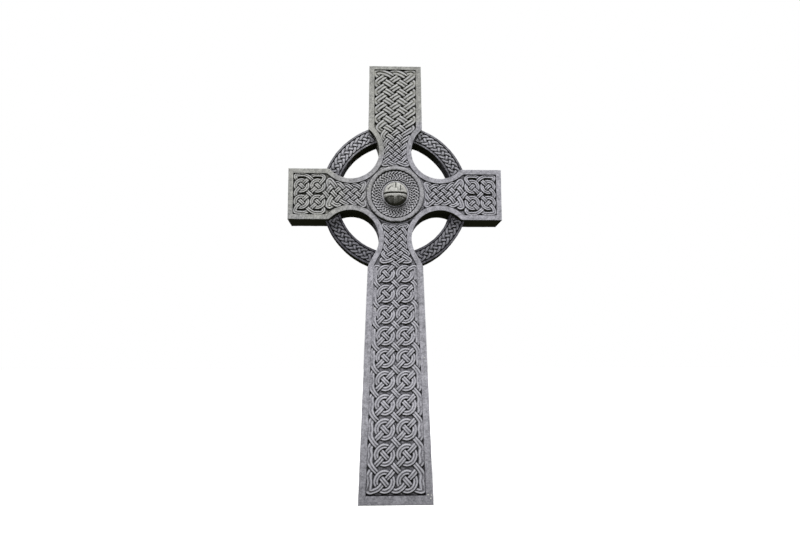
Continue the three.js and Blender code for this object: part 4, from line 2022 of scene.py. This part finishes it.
@dataclass(frozen=True)
class StoneFinish:
    """One tint of the weathered stone."""

    name: str
    pale: Tint
    deep: Tint
    low_pale: Tint
    low_deep: Tint
    # Near-black painted shade laid in recesses
    dirt: Tint = (0.009, 0.0095, 0.011)
    # Near-black painted shade laid on downward faces
    damp: Tint = (0.0078, 0.0082, 0.0045)
    lichen: Tint = (0.46, 0.46, 0.41)
    # Pale tints of the crests, high and low: wear and painted highlight
    worn: Tint = (0.47, 0.47, 0.49)
    low_wear_and_highlight: Tint = (0.43, 0.43, 0.46)
    # Shares of painted shade in recesses and on undersides, and of wear and painted highlight on crests
    dirt_amount: float = 0.93
    damp_amount: float = 1.0
    worn_amount: float = 0.46
    streaks: float = 0.22
    streak_tone: float = 0.45
    patch_share: float = 0.45
    lean: float = 1.0
    high_from: float = 1.6
    high_to: float = 2.0
    splash_from: float = 0.5
    splash_pale: float = 0.57
    splash_deep: float = 0.36
    roughness: float = 0.84
    bump: float = 0.0018
    gloss: float = 0.0

    def height_blend(self, nodes: Nodes, across: Socket, up: Socket, broad: Socket) -> Socket:
        """How much of the upper stone's tint shows, which leans to the upper left.

        Args:
            nodes: The material's nodes.
            across: Sideways part of the place.
            up: Its height.
            broad: The broad patches that make the edge uneven.

        Returns:
            The share of the upper tint.
        """
        aside = nodes.math("MULTIPLY", across, -self.lean)
        uneven = nodes.math("ADD", aside, nodes.math("MULTIPLY", broad, 0.25))
        return nodes.ramp(nodes.math("ADD", up, uneven), self.high_from, self.high_to)

    def grained(self, nodes: Nodes, high: Socket, up: Socket, mottle: Outputs) -> tuple[Socket, Socket]:
        """The stone's grained and streaked colour, darker towards the foot.

        Args:
            nodes: The material's nodes.
            high: How much of the upper stone's tint shows.
            up: Height of the place.
            mottle: The mottle group's outputs.

        Returns:
            The colour, and the share of pale grain in it.
        """
        splash = nodes.ramp(up, self.splash_from, 0.0)
        pale = nodes.blend(high, toned(self.low_pale), toned(self.pale))
        deep = nodes.blend(high, toned(self.low_deep), toned(self.deep))
        pale = nodes.blend(splash, pale, toned(self.low_pale, self.splash_pale))
        deep = nodes.blend(splash, deep, toned(self.low_deep, self.splash_deep))
        patch = nodes.math("MULTIPLY", mottle["Patch"], self.patch_share)
        grain = nodes.math("MULTIPLY", mottle["Grain"], 1 - self.patch_share)
        share = nodes.math("ADD", patch, grain)
        streak = nodes.math("MULTIPLY", mottle["Streak"], self.streaks)
        colour = nodes.blend(share, deep, pale)
        return nodes.blend(streak, colour, toned(self.deep, self.streak_tone)), share

    def build(self, groups: dict[str, bpy.types.NodeTree]) -> bpy.types.Material:
        """The finish as a material.

        Args:
            groups: The shared shader groups by name.

        Returns:
            The new material.
        """
        material = bpy.data.materials.new(self.name)
        material.use_nodes = True
        material.node_tree.nodes.clear()
        nodes = Nodes(material.node_tree)
        place = nodes.add("ShaderNodeTexCoord").outputs["Object"]
        mottle = nodes.group(groups["mottle"], {"Place": place})
        across, _, up = nodes.split(place)
        high = self.height_blend(nodes, across, up, mottle["Broad"])
        base, share = self.grained(nodes, high, up, mottle)
        stain = nodes.group(
            groups["stain"],
            {
                "Base": base,
                "Worn": nodes.blend(high, toned(self.low_wear_and_highlight), toned(self.worn)),
                "Dirt": toned(self.dirt),
                "Damp": toned(self.damp),
                "Hollow": nodes.add("ShaderNodeAttribute", attribute_name="hollow").outputs["Fac"],
                "Facing": nodes.split(nodes.add("ShaderNodeNewGeometry").outputs["Normal"])[2],
                "Patch": mottle["Patch"],
                "Recess shade amount": self.dirt_amount,
                "Underside shade amount": self.damp_amount,
                "Wear and highlight amount": self.worn_amount,
            },
        )
        # Lichen specks are kept off the painted shade
        unshaded = nodes.math("SUBTRACT", 1.0, stain["Shaded"])
        speck = nodes.math("MULTIPLY", mottle["Speck"], unshaded)
        bump = nodes.add("ShaderNodeBump")
        bump.inputs["Strength"].default_value = 1.0
        bump.inputs["Distance"].default_value = self.bump
        nodes.join(nodes.group(groups["grain"], {"Place": place})["Height"], bump.inputs["Height"])
        rough = nodes.math("ADD", self.roughness, nodes.math("MULTIPLY", share, 0.12))
        surface = nodes.add("ShaderNodeBsdfPrincipled")
        surface.inputs["Specular IOR Level"].default_value = self.gloss
        nodes.join(nodes.blend(speck, stain["Colour"], toned(self.lichen)), surface.inputs["Base Color"])
        nodes.join(rough, surface.inputs["Roughness"])
        nodes.join(bump.outputs["Normal"], surface.inputs["Normal"])
        nodes.join(surface.outputs[0], nodes.add("ShaderNodeOutputMaterial").inputs[0])
        return material


HEAD_STONE = StoneFinish(
    name="weathered_head_stone",
    pale=(0.295, 0.295, 0.268),
    deep=(0.098, 0.099, 0.088),
    low_pale=(0.312, 0.308, 0.336),
    low_deep=(0.098, 0.0965, 0.108),
)
# Paler tints and strong crest paling: wear and painted highlight that lift the dish out of its rim's and
# boss's shade
DISC_STONE = StoneFinish(
    name="weathered_disc_stone",
    pale=(0.40, 0.40, 0.39),
    deep=(0.17, 0.17, 0.166),
    low_pale=(0.40, 0.397, 0.415),
    low_deep=(0.17, 0.168, 0.178),
    worn=(0.60, 0.60, 0.61),
    worn_amount=0.9,
)
# Lower tints far darker than the upper ones: painted shade on the lower arcs
RING_STONE = StoneFinish(
    name="weathered_ring_stone",
    pale=(0.27, 0.268, 0.288),
    deep=(0.068, 0.068, 0.075),
    low_pale=(0.10, 0.098, 0.112),
    low_deep=(0.028, 0.027, 0.033),
    worn_amount=0.5,
    lean=-0.22,
    high_from=1.4,
    worn=(0.54, 0.54, 0.57),
    low_wear_and_highlight=(0.24, 0.24, 0.26),
    dirt_amount=0.98,
)
# Its pale crest tint gives the boss top wear and painted highlight
BOSS_STONE = StoneFinish(
    name="weathered_boss_stone",
    pale=(0.40, 0.395, 0.368),
    deep=(0.17, 0.17, 0.155),
    low_pale=(0.40, 0.395, 0.368),
    low_deep=(0.17, 0.17, 0.155),
    # Painted shade on the boss's downward faces
    damp=(0.0115, 0.012, 0.0062),
    damp_amount=0.84,
    worn=(0.56, 0.56, 0.55),
    low_wear_and_highlight=(0.56, 0.56, 0.55),
)


# The studio


@dataclass
class Studio:
    """The pale floor, the soft lights and the camera."""

    place: tuple[float, float, float] = (-0.113, -3.262, 0.678)
    yaw: float = math.radians(-2.43)
    pitch: float = math.radians(7.53)
    roll: float = math.radians(-0.14)
    lens: float = 30.25
    room_light: float = 0.38
    paper_glow: float = 0.45

    def floor(self) -> None:
        """A wide pale floor."""
        bpy.ops.object.select_all(action="DESELECT")
        bpy.ops.mesh.primitive_grid_add(x_subdivisions=24, y_subdivisions=24, size=60)
        sheet = bpy.context.active_object
        sheet.name = "studio_floor"
        material = bpy.data.materials.new("studio_paper")
        material.use_nodes = True
        nodes = Nodes(material.node_tree)
        surface = material.node_tree.nodes["Principled BSDF"]
        surface.inputs["Base Color"].default_value = (0.62, 0.62, 0.62, 1)
        surface.inputs["Roughness"].default_value = 0.95
        surface.inputs["Emission Color"].default_value = (1.0, 1.0, 1.0, 1)
        seen = nodes.add("ShaderNodeLightPath").outputs["Is Camera Ray"]
        nodes.join(nodes.math("MULTIPLY", seen, self.paper_glow), surface.inputs["Emission Strength"])
        sheet.data.materials.append(material)

    def light(self, name: str, place: tuple, aim: tuple, size: float, power: float) -> None:
        """Adds a soft square light.

        Args:
            name: The light's name.
            place: Where it hangs.
            aim: What it points at.
            size: Its width.
            power: Its power in watts.
        """
        lamp = bpy.data.lights.new(name, "AREA")
        lamp.shape = "SQUARE"
        lamp.size = size
        lamp.energy = power
        holder = bpy.data.objects.new(name, lamp)
        bpy.context.scene.collection.objects.link(holder)
        holder.location = place
        way = np.array(aim) - np.array(place)
        flat = math.hypot(way[0], way[1])
        holder.rotation_euler = (math.atan2(flat, -way[2]), 0, math.atan2(-way[0], way[1]))

    def sun(self, name: str, height: float, aside: float, spread: float, power: float) -> None:
        """Adds a broad even light from far away.

        Args:
            name: The light's name.
            height: How steeply it falls.
            aside: How far it comes from the right of the front.
            spread: How wide the light is.
            power: Its strength.
        """
        lamp = bpy.data.lights.new(name, "SUN")
        lamp.angle = spread
        lamp.energy = power
        holder = bpy.data.objects.new(name, lamp)
        bpy.context.scene.collection.objects.link(holder)
        holder.rotation_euler = (math.pi / 2 - height, 0, aside)

    def camera(self) -> None:
        """Sets the camera at the photograph's own place and view."""
        lens = bpy.data.cameras.new("photograph_view")
        lens.lens = self.lens
        lens.sensor_width = 36.0
        viewer = bpy.data.objects.new("photograph_view", lens)
        bpy.context.scene.collection.objects.link(viewer)
        turn = Matrix.Rotation(self.yaw, 4, "Z") @ Matrix.Rotation(math.pi / 2 + self.pitch, 4, "X")
        viewer.matrix_world = Matrix.Translation(self.place) @ turn @ Matrix.Rotation(self.roll, 4, "Z")
        bpy.context.scene.camera = viewer

    def build(self) -> None:
        """Sets up the whole studio."""
        self.floor()
        self.sun("key", math.radians(60), math.radians(-10), math.radians(24), 4.7)
        self.light("fill", (3.4, -4.2, 2.6), (0, 0, 1.0), 3.0, 50)
        self.light("back_fill", (0.4, 4.0, 3.2), (0, 0, 1.2), 3.0, 70)
        world = bpy.data.worlds.new("pale_room")
        world.use_nodes = True
        back = world.node_tree.nodes["Background"]
        back.inputs["Color"].default_value = (1.0, 1.0, 1.0, 1)
        seen = world.node_tree.nodes.new("ShaderNodeLightPath").outputs["Is Camera Ray"]
        strength = world.node_tree.nodes.new("ShaderNodeMapRange")
        strength.inputs["To Min"].default_value = self.room_light
        strength.inputs["To Max"].default_value = 1.0
        world.node_tree.links.new(seen, strength.inputs["Value"])
        world.node_tree.links.new(strength.outputs["Result"], back.inputs["Strength"])
        bpy.context.scene.world = world
        bpy.context.scene.view_settings.view_transform = "Standard"
        self.camera()


# Putting it together


def front_panels() -> list[FrontPanel]:
    """The woven panels of the front, from the head down.

    Returns:
        The panels.
    """
    shaft, shaft_end = ShaftWeave(), SIZES.head - SIZES.foot_border
    shoulder = SIZES.shoulder_half - SIZES.shaft_border
    tapered = (shaft_end, SIZES.foot_half - SIZES.shaft_border_foot, SIZES.flare)
    upper_even = SIZES.top_half - SIZES.upper_border
    arm_even = SIZES.arm_half - SIZES.arm_border
    upper = FrontPanel(
        name="upper_plait",
        lattice=UpperPlait().lattice(),
        toward=(0, 1),
        half=lambda s: panel_half(s, upper_even),
        end=SIZES.height - SIZES.head - SIZES.top_border,
    )
    lower = FrontPanel(
        name="shaft_knots",
        lattice=shaft.lattice(),
        toward=(0, -1),
        half=lambda s: panel_half(s, shoulder, tapered),
        end=shaft_end,
        across=156,
        parts=2,
        swelling=shaft.swelling,
    )
    arms = [
        FrontPanel(
            name=name,
            lattice=ArmWeave(side).lattice(),
            toward=(side, 0),
            half=lambda s: panel_half(s, arm_even),
            end=SIZES.arm_reach - SIZES.arm_border,
        )
        for name, side in (("left_arm_knots", -1), ("right_arm_knots", 1))
    ]
    return [upper, lower, *arms]


def back_panels() -> list[BackPanel]:
    """The plain panels of the back, which keep the front panels' outlines.

    Returns:
        The panels.
    """
    return [
        BackPanel(
            name=panel.name.split("_")[0] + "_back_panel", toward=panel.toward, half=panel.half, end=panel.end
        )
        for panel in front_panels()
    ]


def main() -> None:
    """Builds the headstone and its studio in order."""
    logging.basicConfig(level=logging.INFO, format="%(message)s")
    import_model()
    bpy.ops.object.select_all(action="DESELECT")
    Studio().build()
    groups = {"mottle": mottle_group(), "grain": grain_group(), "stain": shade_and_wear_group()}
    head_stone = HEAD_STONE.build(groups)
    ring_stone = RING_STONE.build(groups)
    boss_stone = BOSS_STONE.build(groups)
    disc_stone = DISC_STONE.build(groups)
    CrossBlock().build(head_stone)
    for panel in front_panels():
        panel.build(head_stone)
    for panel in back_panels():
        panel.build(head_stone)
    for quarter, name in enumerate(("upper_right", "upper_left", "lower_left", "lower_right")):
        RingQuarter(f"ring_{name}", quarter).build(ring_stone)
    Disc().build(disc_stone)
    Boss().build(boss_stone)
    BackDisc().build(head_stone)


if __name__ == "__main__":
    main()
